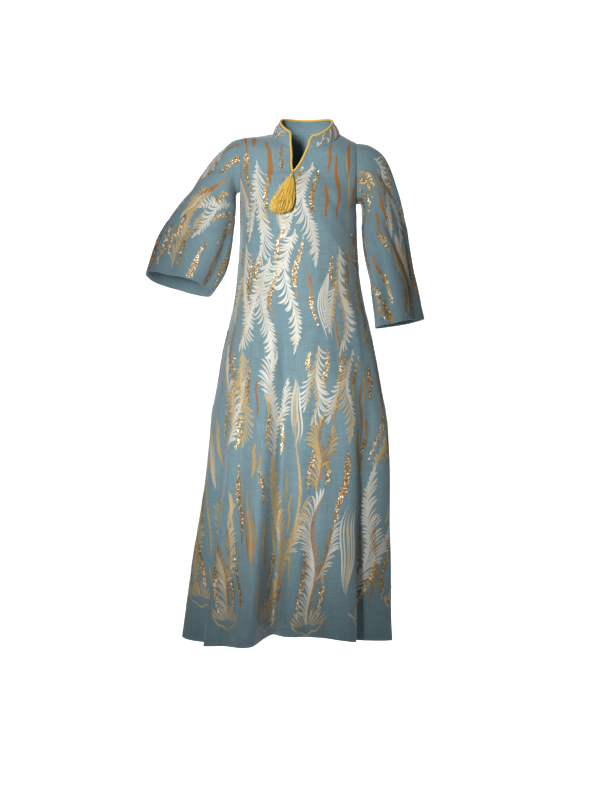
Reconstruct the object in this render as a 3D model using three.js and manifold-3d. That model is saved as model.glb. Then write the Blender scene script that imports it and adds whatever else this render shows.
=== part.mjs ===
// A long loose kaftan in its worn form, empty inside: front, back, two sleeves, stand collar,
// twisted piping and a tassel. Sizes are in mm.
// +Z is up, the front faces -Y, +X is the wearer's left.
// The origin is the centre of the base of the neck.
import * as THREE from "three";
import Module from "manifold-3d";

// Cloth and seams
const WALL = 1.8; // thickness of the embroidered cloth
const SEAM_GAP = 0.3; // clear space between two sewn pieces

// How finely each piece is divided
const SKIRT_ROWS = 14; // from the hem to the underarm
const CENTRE_ROWS = 3; // from the underarm level to the foot of the notch
const NOTCH_ROWS = 4;
const NECK_ROWS = 6; // along each quarter of the neckline
const YOKE_ROWS = CENTRE_ROWS + NOTCH_ROWS + NECK_ROWS;
const BODY_COLUMNS = 24; // from a centre line to a side seam
const SLEEVE_ROWS = 15;
const COLLAR_ROWS = 3;

// Body: outline of the garment at each height. left and right are the side seams, frontX and
// backX the centre lines, front and back how far the centre lines stand from the neck.
const BODY = [
  { z: -1260, left: -309, right: 212, frontX: -46, front: -217, backX: -46, back: 203 },
  { z: -1130, left: -291, right: 210, frontX: -39, front: -204, backX: -40, back: 188 },
  { z: -980, left: -269, right: 209, frontX: -30, front: -190, backX: -30, back: 170 },
  { z: -830, left: -249, right: 209, frontX: -22, front: -175, backX: -22, back: 154 },
  { z: -680, left: -235, right: 201, frontX: -17, front: -160, backX: -17, back: 137 },
  { z: -530, left: -223, right: 191, frontX: -16, front: -148, backX: -15, back: 117 },
  { z: -445, left: -204, right: 174, frontX: -18, front: -142, backX: -15, back: 103 },
  { z: -357, left: -184, right: 151, frontX: -22, front: -140, backX: -15, back: 98 },
  { z: -257, left: -172, right: 130, frontX: -27, front: -140, backX: -15, back: 103 },
  { z: -150, left: -165, right: 124, frontX: -31, front: -127, backX: -14, back: 104 },
  { z: -104, left: -165, right: 124, frontX: -32, front: -109, backX: -10, back: 98 },
  { z: -50, left: -165, right: 124, frontX: -32, front: -90, backX: -5, back: 86 },
  { z: 13, left: -165, right: 124, frontX: -32, front: -75, backX: 0, back: 62 },
];
const YOKE_LEVEL = -215; // height of the centre lines level with the underarm

// Hem: its height round the body. around is 0 at the centre front and grows to +X.
const HEM = [
  { around: -180, z: -1230 },
  { around: -135, z: -1234 },
  { around: -90, z: -1228 },
  { around: -75, z: -1242 },
  { around: -50, z: -1250 },
  { around: -24, z: -1240 },
  { around: -10, z: -1222 },
  { around: 15, z: -1222 },
  { around: 35, z: -1236 },
  { around: 67, z: -1246 },
  { around: 90, z: -1248 },
  { around: 135, z: -1236 },
  { around: 180, z: -1230 },
];

// Folds of the body: out is the height of the ridge at the hem (a groove when negative), lean
// how far its crest tips over towards +around, width half its width in degrees; it starts at
// the height from and is full at the height full.
const BODY_FOLDS = [
  { around: -76, width: 8, out: 8, lean: 0, from: -560, full: -1240 },
  { around: -58, width: 7, out: -26, lean: 0, from: -600, full: -1240 },
  { around: -44, width: 5, out: 17, lean: -9, from: -620, full: -1240 },
  { around: -36, width: 4, out: -6, lean: 0, from: -620, full: -1240 },
  { around: -26, width: 7, out: 31, lean: 32, from: -420, full: -1180 },
  { around: -12, width: 7.5, out: -50, lean: 0, from: -380, full: -1120 },
  { around: 1, width: 6, out: 6, lean: 0, from: -520, full: -1240 },
  { around: 10, width: 5, out: -9, lean: 0, from: -420, full: -1240 },
  { around: 21, width: 5, out: -7, lean: 0, from: -620, full: -1240 },
  { around: 32, width: 7, out: 21, lean: 11, from: -520, full: -1220 },
  { around: 49, width: 9, out: -36, lean: 0, from: -480, full: -1200 },
  { around: 69, width: 6, out: 15, lean: 0, from: -430, full: -1240 },
  { around: 82, width: 5, out: -10, lean: 0, from: -620, full: -1240 },
  { around: 104, width: 7, out: -24, lean: 0, from: -520, full: -1240 },
  { around: 121, width: 8, out: 26, lean: 12, from: -460, full: -1240 },
  { around: 139, width: 7, out: -26, lean: 0, from: -480, full: -1200 },
  { around: 159, width: 9, out: 18, lean: -8, from: -520, full: -1240 },
  { around: 177, width: 7, out: -22, lean: 0, from: -440, full: -1240 },
  { around: 196, width: 8, out: 22, lean: 10, from: -500, full: -1240 },
  { around: 215, width: 7, out: -24, lean: 0, from: -420, full: -1220 },
  { around: 234, width: 9, out: 24, lean: -12, from: -480, full: -1240 },
  { around: 254, width: 6, out: -17, lean: 0, from: -560, full: -1240 },
];

// Neckline seam and top edge of the collar: two tilted rings round the neck. level, tilt and
// saddle make the height: level + tilt * cos(turn) + saddle * cos(2 * turn), 0 at the front.
const NECKLINE = { halfWidth: 84, halfDepth: 73.5, y: -11.5, level: -6.2, tilt: -28.5, saddle: -9.2 };
const COLLAR_TOP = { halfWidth: 67, halfDepth: 62.5, y: -12.5, level: 24.5, tilt: -30, saddle: -8.5 };
const COLLAR_BULGE = 2.5; // the stand collar curves out by this much between seam and top
const COLLAR_ENDS = { leftSeam: -29, rightSeam: 3.6, leftTop: -37.7, rightTop: 11.2 }; // degrees

// Front notch below the collar, from its rounded foot to the neckline seam
const NOTCH = [
  { leftX: -32, leftZ: -104, rightX: -32, rightZ: -104 },
  { leftX: -38.5, leftZ: -96, rightX: -24, rightZ: -97 },
  { leftX: -40.5, leftZ: -77, rightX: -12.5, rightZ: -80 },
  { leftX: -40, leftZ: -57, rightX: -3, rightZ: -61 },
];

// Sleeves, from the armhole to the cuff. The outer and the inner point are the two edges seen
// from the front; half is half the depth of the sleeve; lift raises its front over its back.
const SLEEVES = {
  right: [
    { at: 0.0, outerX: -158, outerY: 0, outerZ: -3, innerX: -165, innerY: 0, innerZ: -138, half: 54, lift: 0 },
    { at: 0.1, outerX: -190, outerY: 4, outerZ: -15, innerX: -176, innerY: 0, innerZ: -142, half: 57, lift: 1 },
    { at: 0.3, outerX: -246, outerY: 10, outerZ: -73, innerX: -177, innerY: -2, innerZ: -184, half: 63, lift: 4 },
    { at: 0.5, outerX: -301, outerY: 18, outerZ: -147, innerX: -181, innerY: -4, innerZ: -232, half: 68, lift: 6 },
    { at: 0.7, outerX: -348, outerY: 24, outerZ: -210, innerX: -188, innerY: -6, innerZ: -287, half: 74, lift: 8 },
    { at: 0.85, outerX: -381, outerY: 28, outerZ: -271, innerX: -202, innerY: -4, innerZ: -339, half: 79, lift: 11 },
    { at: 1.0, outerX: -404, outerY: 30, outerZ: -343, innerX: -234, innerY: 0, innerZ: -390, half: 84, lift: 14 },
  ],
  left: [
    { at: 0.0, outerX: 125, outerY: 0, outerZ: -16, innerX: 124, innerY: 0, innerZ: -168, half: 55, lift: 0 },
    { at: 0.1, outerX: 160, outerY: 3, outerZ: -24, innerX: 136, innerY: -4, innerZ: -170, half: 58, lift: 0 },
    { at: 0.25, outerX: 198, outerY: 6, outerZ: -57, innerX: 138, innerY: -16, innerZ: -203, half: 60, lift: 0 },
    { at: 0.45, outerX: 228, outerY: 8, outerZ: -146, innerX: 139, innerY: -36, innerZ: -244, half: 62, lift: 0 },
    { at: 0.62, outerX: 249, outerY: 10, outerZ: -233, innerX: 144, innerY: -58, innerZ: -294, half: 65, lift: 0 },
    { at: 0.8, outerX: 272, outerY: 12, outerZ: -340, innerX: 157, innerY: -78, innerZ: -374, half: 70, lift: 1 },
    { at: 1.0, outerX: 296, outerY: 14, outerZ: -455, innerX: 168, innerY: -90, innerZ: -482, half: 78, lift: 2 },
  ],
};

// Folds of the sleeves: turn is 0 at the outer edge, 90 at the front, 180 at the inner edge
const SLEEVE_FOLDS = {
  right: [
    { turn: 35, width: 15, out: 7, from: 0.2, full: 0.8 },
    { turn: 70, width: 16, out: -9, from: 0.3, full: 0.9 },
    { turn: 112, width: 16, out: 8, from: 0.15, full: 0.9 },
    { turn: 150, width: 14, out: -10, from: 0.25, full: 0.7 },
    { turn: 225, width: 18, out: 8, from: 0.3, full: 1 },
    { turn: 275, width: 18, out: -9, from: 0.3, full: 1 },
    { turn: 320, width: 16, out: 6, from: 0.3, full: 1 },
  ],
  left: [
    { turn: 50, width: 15, out: -7, from: 0.2, full: 1 },
    { turn: 85, width: 14, out: 8, from: 0.3, full: 1 },
    { turn: 118, width: 13, out: -12, from: 0.35, full: 1 },
    { turn: 148, width: 12, out: 11, from: 0.4, full: 1 },
    { turn: 245, width: 17, out: -7, from: 0.3, full: 1 },
    { turn: 290, width: 17, out: 8, from: 0.3, full: 1 },
  ],
};

// Piping round the collar and the notch
const CORD_RADIUS = 2.3;
const CORD_CLEAR = 0.6; // from the border of the cloth to the cord
const CORD_STEPS = 72;
const CORD_SIDES = 6;

// Tassel: its middle line from the knot down, with half its width and half its depth
const TASSEL = [
  { at: 0.0, x: -37.5, y: -120.5, z: -112, halfWidth: 3.4, halfDepth: 3.4 },
  { at: 0.2, x: -42.5, y: -131.5, z: -131, halfWidth: 10, halfDepth: 6 },
  { at: 0.45, x: -51, y: -142.5, z: -156, halfWidth: 20, halfDepth: 9 },
  { at: 0.8, x: -61.5, y: -152, z: -189, halfWidth: 29, halfDepth: 11.5 },
  { at: 1.0, x: -65, y: -153.5, z: -210, halfWidth: 24, halfDepth: 10 },
];
const STRANDS = 43;
const STRAND_RADIUS = 1.35;
const STRAND_SIDES = 3;
const STRAND_STEPS = 3;
const STRAND_ROOT = 0.04; // the strands leave the head here, as a part of the length
const KNOT_RADIUS = 4.2;
const HANGER_RADIUS = 1.1; // thin cord between the foot of the notch and the knot
const GOLDEN_ANGLE = 137.5;

const CLOTH = { color: 0x6f98a5, roughness: 0.85, metalness: 0 };
const YELLOW_CORD = { color: 0xe3ae3a, roughness: 0.6, metalness: 0 };

// Small helpers

const vec = (x, y, z) => new THREE.Vector3(x, y, z);
const mix = (a, b, t) => a + (b - a) * t;
const radians = (degrees) => (degrees * Math.PI) / 180;
const sin = (degrees) => Math.sin(radians(degrees));
const cos = (degrees) => Math.cos(radians(degrees));

// 0 before the start, 1 after the end, and an even slope between
function ramp(start, end, value) {
  return THREE.MathUtils.clamp((value - start) / (end - start), 0, 1);
}

// One column of a table at any place between its rows, along a smooth curve
function read(table, key, column, at) {
  const last = table.length - 1;
  let i = 0;
  while (i < last - 1 && table[i + 1][key] < at) i += 1;
  const slope = (n) => {
    const before = table[Math.max(n - 1, 0)];
    const after = table[Math.min(n + 1, last)];
    return (after[column] - before[column]) / (after[key] - before[key]);
  };
  const step = table[i + 1][key] - table[i][key];
  const t = THREE.MathUtils.clamp((at - table[i][key]) / step, 0, 1);
  const t2 = t * t;
  const t3 = t2 * t;
  return (
    table[i][column] * (2 * t3 - 3 * t2 + 1) +
    slope(i) * step * (t3 - 2 * t2 + t) +
    table[i + 1][column] * (3 * t2 - 2 * t3) +
    slope(i + 1) * step * (t3 - t2)
  );
}

// A point on one of the two rings round the neck
function ringPoint(ring, turn) {
  return vec(
    ring.halfWidth * sin(turn),
    ring.y - ring.halfDepth * cos(turn),
    ring.level + ring.tilt * cos(turn) + ring.saddle * cos(2 * turn),
  );
}

// Sleeves

// A point of a sleeve: at runs from the armhole to the cuff, turn goes round it
function sleevePoint(name, at, turn) {
  const size = (column) => read(SLEEVES[name], "at", column, at);
  const outer = vec(size("outerX"), size("outerY"), size("outerZ"));
  const inner = vec(size("innerX"), size("innerY"), size("innerZ"));
  const middle = outer.clone().add(inner).multiplyScalar(0.5);
  const across = outer.clone().sub(inner).multiplyScalar(0.5);
  const forward = vec(0, -size("half"), size("lift"));
  const spoke = across.multiplyScalar(cos(turn)).add(forward.multiplyScalar(sin(turn)));
  let out = 0;
  for (const fold of SLEEVE_FOLDS[name]) {
    const away = (((turn - fold.turn + 540) % 360) - 180) / fold.width;
    out += fold.out * Math.exp(-away * away) * ramp(fold.from, fold.full, at);
  }
  return middle.add(spoke.clone().setLength(spoke.length() + out));
}

// The armhole is the first ring of the sleeve
function armholePoint(side, turn) {
  return sleevePoint(side < 0 ? "right" : "left", 0, turn);
}

function sleeveGrid(name) {
  const side = name === "right" ? -1 : 1;
  const grid = [];
  for (let row = 0; row <= SLEEVE_ROWS; row++) {
    const ring = [];
    for (let i = 0; i <= 2 * YOKE_ROWS; i++) {
      const turn = (180 * (i % (2 * YOKE_ROWS))) / YOKE_ROWS;
      ring.push(sleevePoint(name, row / SLEEVE_ROWS, turn));
    }
    grid.push(side < 0 ? ring.reverse() : ring);
  }
  return grid;
}

// Body

// How far the folds move a point of the body, out from it and along it
function foldShift(around, z) {
  let out = 0;
  let lean = 0;
  for (const fold of BODY_FOLDS) {
    const away = (((around - fold.around + 540) % 360) - 180) / fold.width;
    const share = Math.exp(-away * away) * ramp(fold.from, fold.full, z);
    out += fold.out * share;
    lean += fold.lean * share;
  }
  return { out, lean };
}

function hemHeight(around) {
  const turned = around > 180 ? around - 360 : around;
  return read(HEM, "around", "z", turned);
}

// A point of the loose part between hem and underarm. quarter goes from 0 at the centre line
// to 90 at the side seam, up from 0 at the hem to 1 at the underarm.
function skirtPoint(face, side, quarter, up) {
  const around = face === "front" ? side * quarter : 180 - side * quarter;
  const underarm = armholePoint(side, 180);
  const top = mix(YOKE_LEVEL, underarm.z, quarter / 90);
  const z = mix(hemHeight(around), top, up);
  const size = (column) => read(BODY, "z", column, z);
  const centreX = size(face + "X");
  const halfWidth = size(side < 0 ? "left" : "right") - centreX;
  const depth = size(face);
  const { out, lean } = foldShift(around, z);
  const seamX = mix(centreX + halfWidth, underarm.x, Math.max(0, 2 * up - 1));
  const point = vec(mix(centreX, seamX, sin(quarter)), depth * cos(quarter), z);
  const outward = vec(sin(around), -cos(around), 0);
  const along = vec(cos(around), sin(around), 0);
  return point.addScaledVector(outward, out).addScaledVector(along, lean);
}

// The inner border of the front above the underarm: centre line, notch, neckline
function frontBorder(side, row) {
  if (row <= CENTRE_ROWS) {
    const z = mix(YOKE_LEVEL, NOTCH[0].leftZ, row / CENTRE_ROWS);
    return vec(read(BODY, "z", "frontX", z), read(BODY, "z", "front", z), z);
  }
  const name = side < 0 ? "left" : "right";
  const end = COLLAR_ENDS[name + "Seam"];
  const notchRow = row - CENTRE_ROWS;
  if (notchRow < NOTCH_ROWS) {
    const point = NOTCH[notchRow];
    const y = mix(read(BODY, "z", "front", NOTCH[0].leftZ), ringPoint(NECKLINE, end).y, notchRow / NOTCH_ROWS);
    return vec(point[name + "X"], y, point[name + "Z"]);
  }
  return ringPoint(NECKLINE, mix(end, side * 90, (notchRow - NOTCH_ROWS) / NECK_ROWS));
}

// The inner border of the back above the underarm: centre line, neckline
function backBorder(side, row) {
  const centreRows = CENTRE_ROWS + NOTCH_ROWS;
  if (row <= centreRows) {
    const z = mix(YOKE_LEVEL, ringPoint(NECKLINE, 180).z, row / centreRows);
    return vec(read(BODY, "z", "backX", z), read(BODY, "z", "back", z), z);
  }
  return ringPoint(NECKLINE, mix(side * 180, side * 90, (row - centreRows) / NECK_ROWS));
}

// A point between underarm and shoulder seam: round at the underarm, straight at the shoulder
function yokePoint(face, side, quarter, row) {
  const up = row / YOKE_ROWS;
  const inner = face === "front" ? frontBorder(side, row) : backBorder(side, row);
  const turn = face === "front" ? 180 * (1 - up) : 180 * (1 + up);
  const outer = armholePoint(side, turn % 360);
  const roundness = cos(90 * up);
  const straight = quarter / 90;
  return vec(
    mix(inner.x, outer.x, mix(straight, sin(quarter), roundness)),
    mix(inner.y, outer.y, mix(straight, 1 - cos(quarter), roundness)),
    mix(inner.z, outer.z, straight),
  );
}

function bodyGrid(face, side) {
  const grid = [];
  for (let row = 0; row <= SKIRT_ROWS + YOKE_ROWS; row++) {
    const line = [];
    for (let column = 0; column <= BODY_COLUMNS; column++) {
      const quarter = (90 * column) / BODY_COLUMNS;
      line.push(
        row < SKIRT_ROWS
          ? skirtPoint(face, side, quarter, row / SKIRT_ROWS)
          : yokePoint(face, side, quarter, row - SKIRT_ROWS),
      );
    }
    const turned = (face === "front") === side > 0;
    grid.push(turned ? line : line.reverse());
  }
  return grid;
}

// Collar

// Where the columns of the collar stand on the neckline seam, from 0 at its left end to 1
function collarTurns() {
  const turns = [];
  const quarters = [
    [COLLAR_ENDS.leftSeam, -90],
    [-90, -180],
    [-180, -270],
    [-270, COLLAR_ENDS.rightSeam - 360],
  ];
  for (const [start, end] of quarters) {
    for (let i = 0; i < NECK_ROWS; i++) turns.push(mix(start, end, i / NECK_ROWS));
  }
  turns.push(COLLAR_ENDS.rightSeam - 360);
  return turns;
}

function collarPoint(turn, up) {
  const { leftSeam, rightSeam, leftTop, rightTop } = COLLAR_ENDS;
  const share = (turn - leftSeam) / (rightSeam - 360 - leftSeam);
  const topTurn = mix(leftTop, rightTop - 360, share);
  const foot = ringPoint(NECKLINE, turn);
  const point = foot.lerp(ringPoint(COLLAR_TOP, topTurn), up);
  const bulge = COLLAR_BULGE * 4 * up * (1 - up);
  return point.add(vec(bulge * sin(topTurn), -bulge * cos(topTurn), 0));
}

function collarGrid() {
  const grid = [];
  for (let row = 0; row <= COLLAR_ROWS; row++) {
    grid.push(collarTurns().map((turn) => collarPoint(turn, row / COLLAR_ROWS)).reverse());
  }
  return grid;
}

// Cloth surfaces and their thickness

const keyOf = (p) => [p.x, p.y, p.z].map((v) => Math.round(v * 1000)).join(",");

// One surface made of grids that share their common points
function surface(name, grids) {
  const points = [];
  const faces = [];
  const known = new Map();
  const indexOf = (point) => {
    const key = keyOf(point);
    if (!known.has(key)) {
      known.set(key, points.length);
      points.push(point);
    }
    return known.get(key);
  };
  for (const grid of grids) {
    for (let row = 0; row + 1 < grid.length; row++) {
      for (let i = 0; i + 1 < grid[row].length; i++) {
        const a = indexOf(grid[row][i]);
        const b = indexOf(grid[row][i + 1]);
        const c = indexOf(grid[row + 1][i + 1]);
        const d = indexOf(grid[row + 1][i]);
        faces.push([a, b, c], [a, c, d]);
      }
    }
  }
  return { name, points, faces, known };
}

// Normals that two sewn pieces share where they meet: each face counts by its corner's angle,
// so that both pieces count alike along a seam
function sharedNormals(surfaces) {
  const shared = new Map();
  for (const { points, faces } of surfaces) {
    for (const [a, b, c] of faces) {
      for (const [corner, next, last] of [[a, b, c], [b, c, a], [c, a, b]]) {
        const toNext = points[next].clone().sub(points[corner]);
        const toLast = points[last].clone().sub(points[corner]);
        const angle = toNext.angleTo(toLast);
        const key = keyOf(points[corner]);
        if (!shared.has(key)) shared.set(key, vec(0, 0, 0));
        shared.get(key).addScaledVector(toNext.cross(toLast).normalize(), angle);
      }
    }
  }
  for (const normal of shared.values()) normal.normalize();
  return shared;
}

// The edges that only one face uses, in the direction of that face
function borderEdges(faces) {
  const edges = new Map();
  for (const [a, b, c] of faces) {
    for (const [from, to] of [[a, b], [b, c], [c, a]]) {
      if (!edges.delete(to + "-" + from)) edges.set(from + "-" + to, [from, to]);
    }
  }
  return [...edges.values()];
}

// For each point of the border, the way into the cloth, longer at a corner
function inwardWays(cloth, normals) {
  const found = new Map();
  for (const [from, to] of borderEdges(cloth.faces)) {
    const direction = cloth.points[to].clone().sub(cloth.points[from]);
    for (const i of [from, to]) {
      const normal = normals.get(keyOf(cloth.points[i]));
      const way = normal.clone().cross(direction).normalize();
      if (!found.has(i)) found.set(i, []);
      found.get(i).push(way);
    }
  }
  const ways = new Map();
  for (const [i, [first, second]] of found) {
    const sum = first.clone().add(second);
    ways.set(i, sum.divideScalar(1 + first.dot(second)));
  }
  return ways;
}

// A closed solid with the thickness of the cloth, set back from its seams
function clothSolid(cloth, normals) {
  const ways = inwardWays(cloth, normals);
  const count = cloth.points.length;
  const outer = [];
  const inner = [];
  cloth.points.forEach((point, i) => {
    const moved = point.clone();
    if (ways.has(i)) moved.addScaledVector(ways.get(i), SEAM_GAP / 2);
    const half = normals.get(keyOf(point)).clone().multiplyScalar(WALL / 2);
    outer.push(moved.clone().add(half));
    inner.push(moved.clone().sub(half));
  });
  const faces = [];
  for (const [a, b, c] of cloth.faces) {
    faces.push([a, b, c], [c + count, b + count, a + count]);
  }
  for (const [a, b] of borderEdges(cloth.faces)) {
    // both pieces at a seam split their narrow faces alike, so the gap between them is even
    const alike = keyOf(cloth.points[a]) < keyOf(cloth.points[b]);
    if (alike) faces.push([b, a, a + count], [b, a + count, b + count]);
    else faces.push([b, a, b + count], [a, a + count, b + count]);
  }
  return meshGeometry([...outer, ...inner], faces);
}

function meshGeometry(points, faces) {
  const geometry = new THREE.BufferGeometry();
  geometry.setFromPoints(points);
  geometry.setIndex(faces.flat());
  geometry.computeVertexNormals();
  return geometry;
}

// Piping

// A point beside the border of a cloth, where the middle of the cord runs
function besideBorder(cloth, ways, point) {
  const i = cloth.known.get(keyOf(point));
  return point.clone().addScaledVector(ways.get(i), -(CORD_RADIUS + CORD_CLEAR));
}

function pipingPath(front, collar, normals) {
  const frontWays = inwardWays(front, normals);
  const collarWays = inwardWays(collar, normals);
  const notchSide = (side) => {
    const points = [];
    for (let i = 1; i < NOTCH_ROWS; i++) {
      points.push(besideBorder(front, frontWays, frontBorder(side, CENTRE_ROWS + i)));
    }
    return points;
  };
  const collarEnd = (turn) => {
    const points = [];
    for (let row = 1; row < COLLAR_ROWS; row++) {
      points.push(besideBorder(collar, collarWays, collarPoint(turn, row / COLLAR_ROWS)));
    }
    return points;
  };
  const turns = collarTurns();
  const top = turns.map((turn) => besideBorder(collar, collarWays, collarPoint(turn, 1)));
  const foot = besideBorder(front, frontWays, frontBorder(-1, CENTRE_ROWS));
  const path = [
    foot,
    ...notchSide(-1),
    ...collarEnd(turns[0]),
    ...top,
    ...collarEnd(turns[turns.length - 1]).reverse(),
    ...notchSide(1).reverse(),
  ];
  return new THREE.CatmullRomCurve3(path, true, "centripetal");
}

// Tassel

function tasselPoint(at, across, deep) {
  const size = (column) => read(TASSEL, "at", column, at);
  return vec(
    size("x") + across * size("halfWidth"),
    size("y") + deep * size("halfDepth"),
    size("z"),
  );
}

// A thin closed rod through the given points
function rodGeometry(points, radius, sides) {
  const vertices = [];
  const faces = [];
  points.forEach((point, n) => {
    const before = points[Math.max(n - 1, 0)];
    const after = points[Math.min(n + 1, points.length - 1)];
    const direction = after.clone().sub(before).normalize();
    const first = vec(0, 1, 0).cross(direction).normalize();
    const second = direction.clone().cross(first);
    for (let i = 0; i < sides; i++) {
      const turn = (360 * i) / sides;
      vertices.push(
        point.clone()
          .addScaledVector(first, radius * cos(turn))
          .addScaledVector(second, radius * sin(turn)),
      );
    }
  });
  const end = (points.length - 1) * sides;
  for (let n = 0; n + 1 < points.length; n++) {
    for (let i = 0; i < sides; i++) {
      const a = n * sides + i;
      const b = n * sides + ((i + 1) % sides);
      faces.push([a, b, b + sides], [a, b + sides, a + sides]);
    }
  }
  for (let i = 1; i + 1 < sides; i++) {
    faces.push([0, i + 1, i], [end, end + i, end + i + 1]);
  }
  return meshGeometry(vertices, faces);
}

function strandGeometry(index) {
  const reach = Math.sqrt((index + 0.5) / STRANDS);
  const turn = index * GOLDEN_ANGLE;
  const length = 1 - 0.06 * reach * reach - 0.03 * (index % 3);
  const points = [];
  for (let step = 0; step <= STRAND_STEPS; step++) {
    const at = mix(STRAND_ROOT, length, step / STRAND_STEPS);
    points.push(tasselPoint(at, reach * cos(turn), reach * sin(turn)));
  }
  return rodGeometry(points, STRAND_RADIUS, STRAND_SIDES);
}

const wasm = await Module();
wasm.setup();

function toManifold(geometry) {
  return new wasm.Manifold(
    new wasm.Mesh({
      numProp: 3,
      vertProperties: new Float32Array(geometry.attributes.position.array),
      triVerts: new Uint32Array(geometry.index.array),
    }),
  );
}

function fromManifold(solid) {
  const mesh = solid.getMesh();
  const geometry = new THREE.BufferGeometry();
  geometry.setAttribute("position", new THREE.BufferAttribute(mesh.vertProperties, 3));
  geometry.setIndex(new THREE.BufferAttribute(mesh.triVerts, 1));
  geometry.computeVertexNormals();
  return geometry;
}

// Knot, hanging cord and strands joined into one body
function tasselGeometry(pipingFoot) {
  const knotCentre = tasselPoint(0, 0, 0);
  const crown = tasselPoint(0.3, 0, 0);
  const flat = cos(180 / CORD_SIDES); // a six-sided rod is thinner across its flats
  const hangerOut = (CORD_RADIUS + HANGER_RADIUS) * flat + SEAM_GAP;
  const hangerTop = pipingFoot.clone().add(vec(0, -hangerOut, HANGER_RADIUS));
  const hangerBend = mixPoint(hangerTop, knotCentre, 0.6).add(vec(0, -0.6, 0));
  const hanger = rodGeometry([hangerTop, hangerBend, knotCentre], HANGER_RADIUS, CORD_SIDES);
  const head = rodGeometry(
    [tasselPoint(-0.02, 0, 0), tasselPoint(0.05, 0, 0), mixPoint(knotCentre, crown, 0.5)],
    KNOT_RADIUS,
    8,
  );
  let solid = toManifold(head).add(toManifold(hanger));
  for (let i = 0; i < STRANDS; i++) {
    solid = solid.add(toManifold(strandGeometry(i)));
  }
  return fromManifold(solid);
}

function mixPoint(a, b, t) {
  return a.clone().lerp(b, t);
}

// The whole garment

function namedMesh(name, geometry, look) {
  const mesh = new THREE.Mesh(geometry, new THREE.MeshStandardMaterial(look));
  mesh.name = name;
  return mesh;
}

const bodyFront = surface("body_front", [bodyGrid("front", -1), bodyGrid("front", 1)]);
const bodyBack = surface("body_back", [bodyGrid("back", -1), bodyGrid("back", 1)]);
const sleeveRight = surface("sleeve_right", [sleeveGrid("right")]);
const sleeveLeft = surface("sleeve_left", [sleeveGrid("left")]);
const collar = surface("collar", [collarGrid()]);
const cloths = [bodyFront, bodyBack, sleeveRight, sleeveLeft, collar];
const normals = sharedNormals(cloths);
const cordPath = pipingPath(bodyFront, collar, normals);

const group = new THREE.Group();
for (const cloth of cloths) {
  group.add(namedMesh(cloth.name, clothSolid(cloth, normals), CLOTH));
}
group.add(
  namedMesh(
    "neck_piping",
    new THREE.TubeGeometry(cordPath, CORD_STEPS, CORD_RADIUS, CORD_SIDES, true),
    YELLOW_CORD,
  ),
);
group.add(namedMesh("tassel", tasselGeometry(cordPath.getPoint(0)), YELLOW_CORD));

export default group;
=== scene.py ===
import math

import bpy
import numpy as np
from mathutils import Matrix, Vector


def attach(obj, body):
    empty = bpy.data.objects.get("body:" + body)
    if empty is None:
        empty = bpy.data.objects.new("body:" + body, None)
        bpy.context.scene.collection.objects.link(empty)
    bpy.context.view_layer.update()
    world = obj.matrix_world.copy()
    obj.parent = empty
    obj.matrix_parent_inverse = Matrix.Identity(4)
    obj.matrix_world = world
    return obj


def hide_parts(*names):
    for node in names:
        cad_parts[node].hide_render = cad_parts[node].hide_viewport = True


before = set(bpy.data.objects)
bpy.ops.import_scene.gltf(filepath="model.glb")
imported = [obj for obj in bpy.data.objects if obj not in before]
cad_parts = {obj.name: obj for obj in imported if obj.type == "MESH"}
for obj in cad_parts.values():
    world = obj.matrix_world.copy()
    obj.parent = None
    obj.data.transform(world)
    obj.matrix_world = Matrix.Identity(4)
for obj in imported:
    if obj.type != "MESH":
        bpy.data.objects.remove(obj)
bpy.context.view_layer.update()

# The looks of a long embroidered kaftan. Sizes are in metres, angles in degrees.
# +Z is up, the front faces -Y, +X is the wearer's left.

# Cloth
CLOTH_THICKNESS = 0.0009
HEM_WIDTH = 0.012  # folded inwards and sewn
HEM_FOLD = 0.0012  # how much thicker the folded hem is
SEAM_DIP = 0.0011  # how deep a seam lies
SEAM_REACH = 0.003
EDGE_CLEAR = 0.0025  # embroidery keeps this far from the seams

# How finely the cloth is divided
SKIRT_ROWS = 92
YOKE_STEPS = 5  # for each of the yoke's 13 rows
CENTRE_ROWS = 3
NOTCH_ROWS = 4
NECK_ROWS = 6
YOKE_ROWS = CENTRE_ROWS + NOTCH_ROWS + NECK_ROWS
BODY_COLUMNS = 80
SLEEVE_ROWS = 64
COLLAR_ROWS = 14
FABRIC_STEP = 0.004  # lattice that leads from the flat cloth to the worn one


# Tones of thread and sequins, from the palest to the reddest
TONES = dict(ivory=0.0, champagne=0.3, gold=0.55, bronze=0.78, copper=1.0)
IVORY, CHAMPAGNE, GOLD, BRONZE, COPPER = TONES.values()


def table(columns, text):
    """A table with named columns. The first column is the one that the others are read by.

    Each row has a line or ends in a semicolon, and holds numbers or names of tones.
    """
    rows = [row.split() for row in text.replace(";", "\n").splitlines() if row.strip()]
    values = np.array([[TONES[word] if word in TONES else float(word) for word in row] for row in rows])
    return dict(zip(columns.split(), values.T.copy()))


def tables(columns, **texts):
    """Tables with the same columns, one for each panel."""
    return {name: table(columns, text) for name, text in texts.items()}


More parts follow.
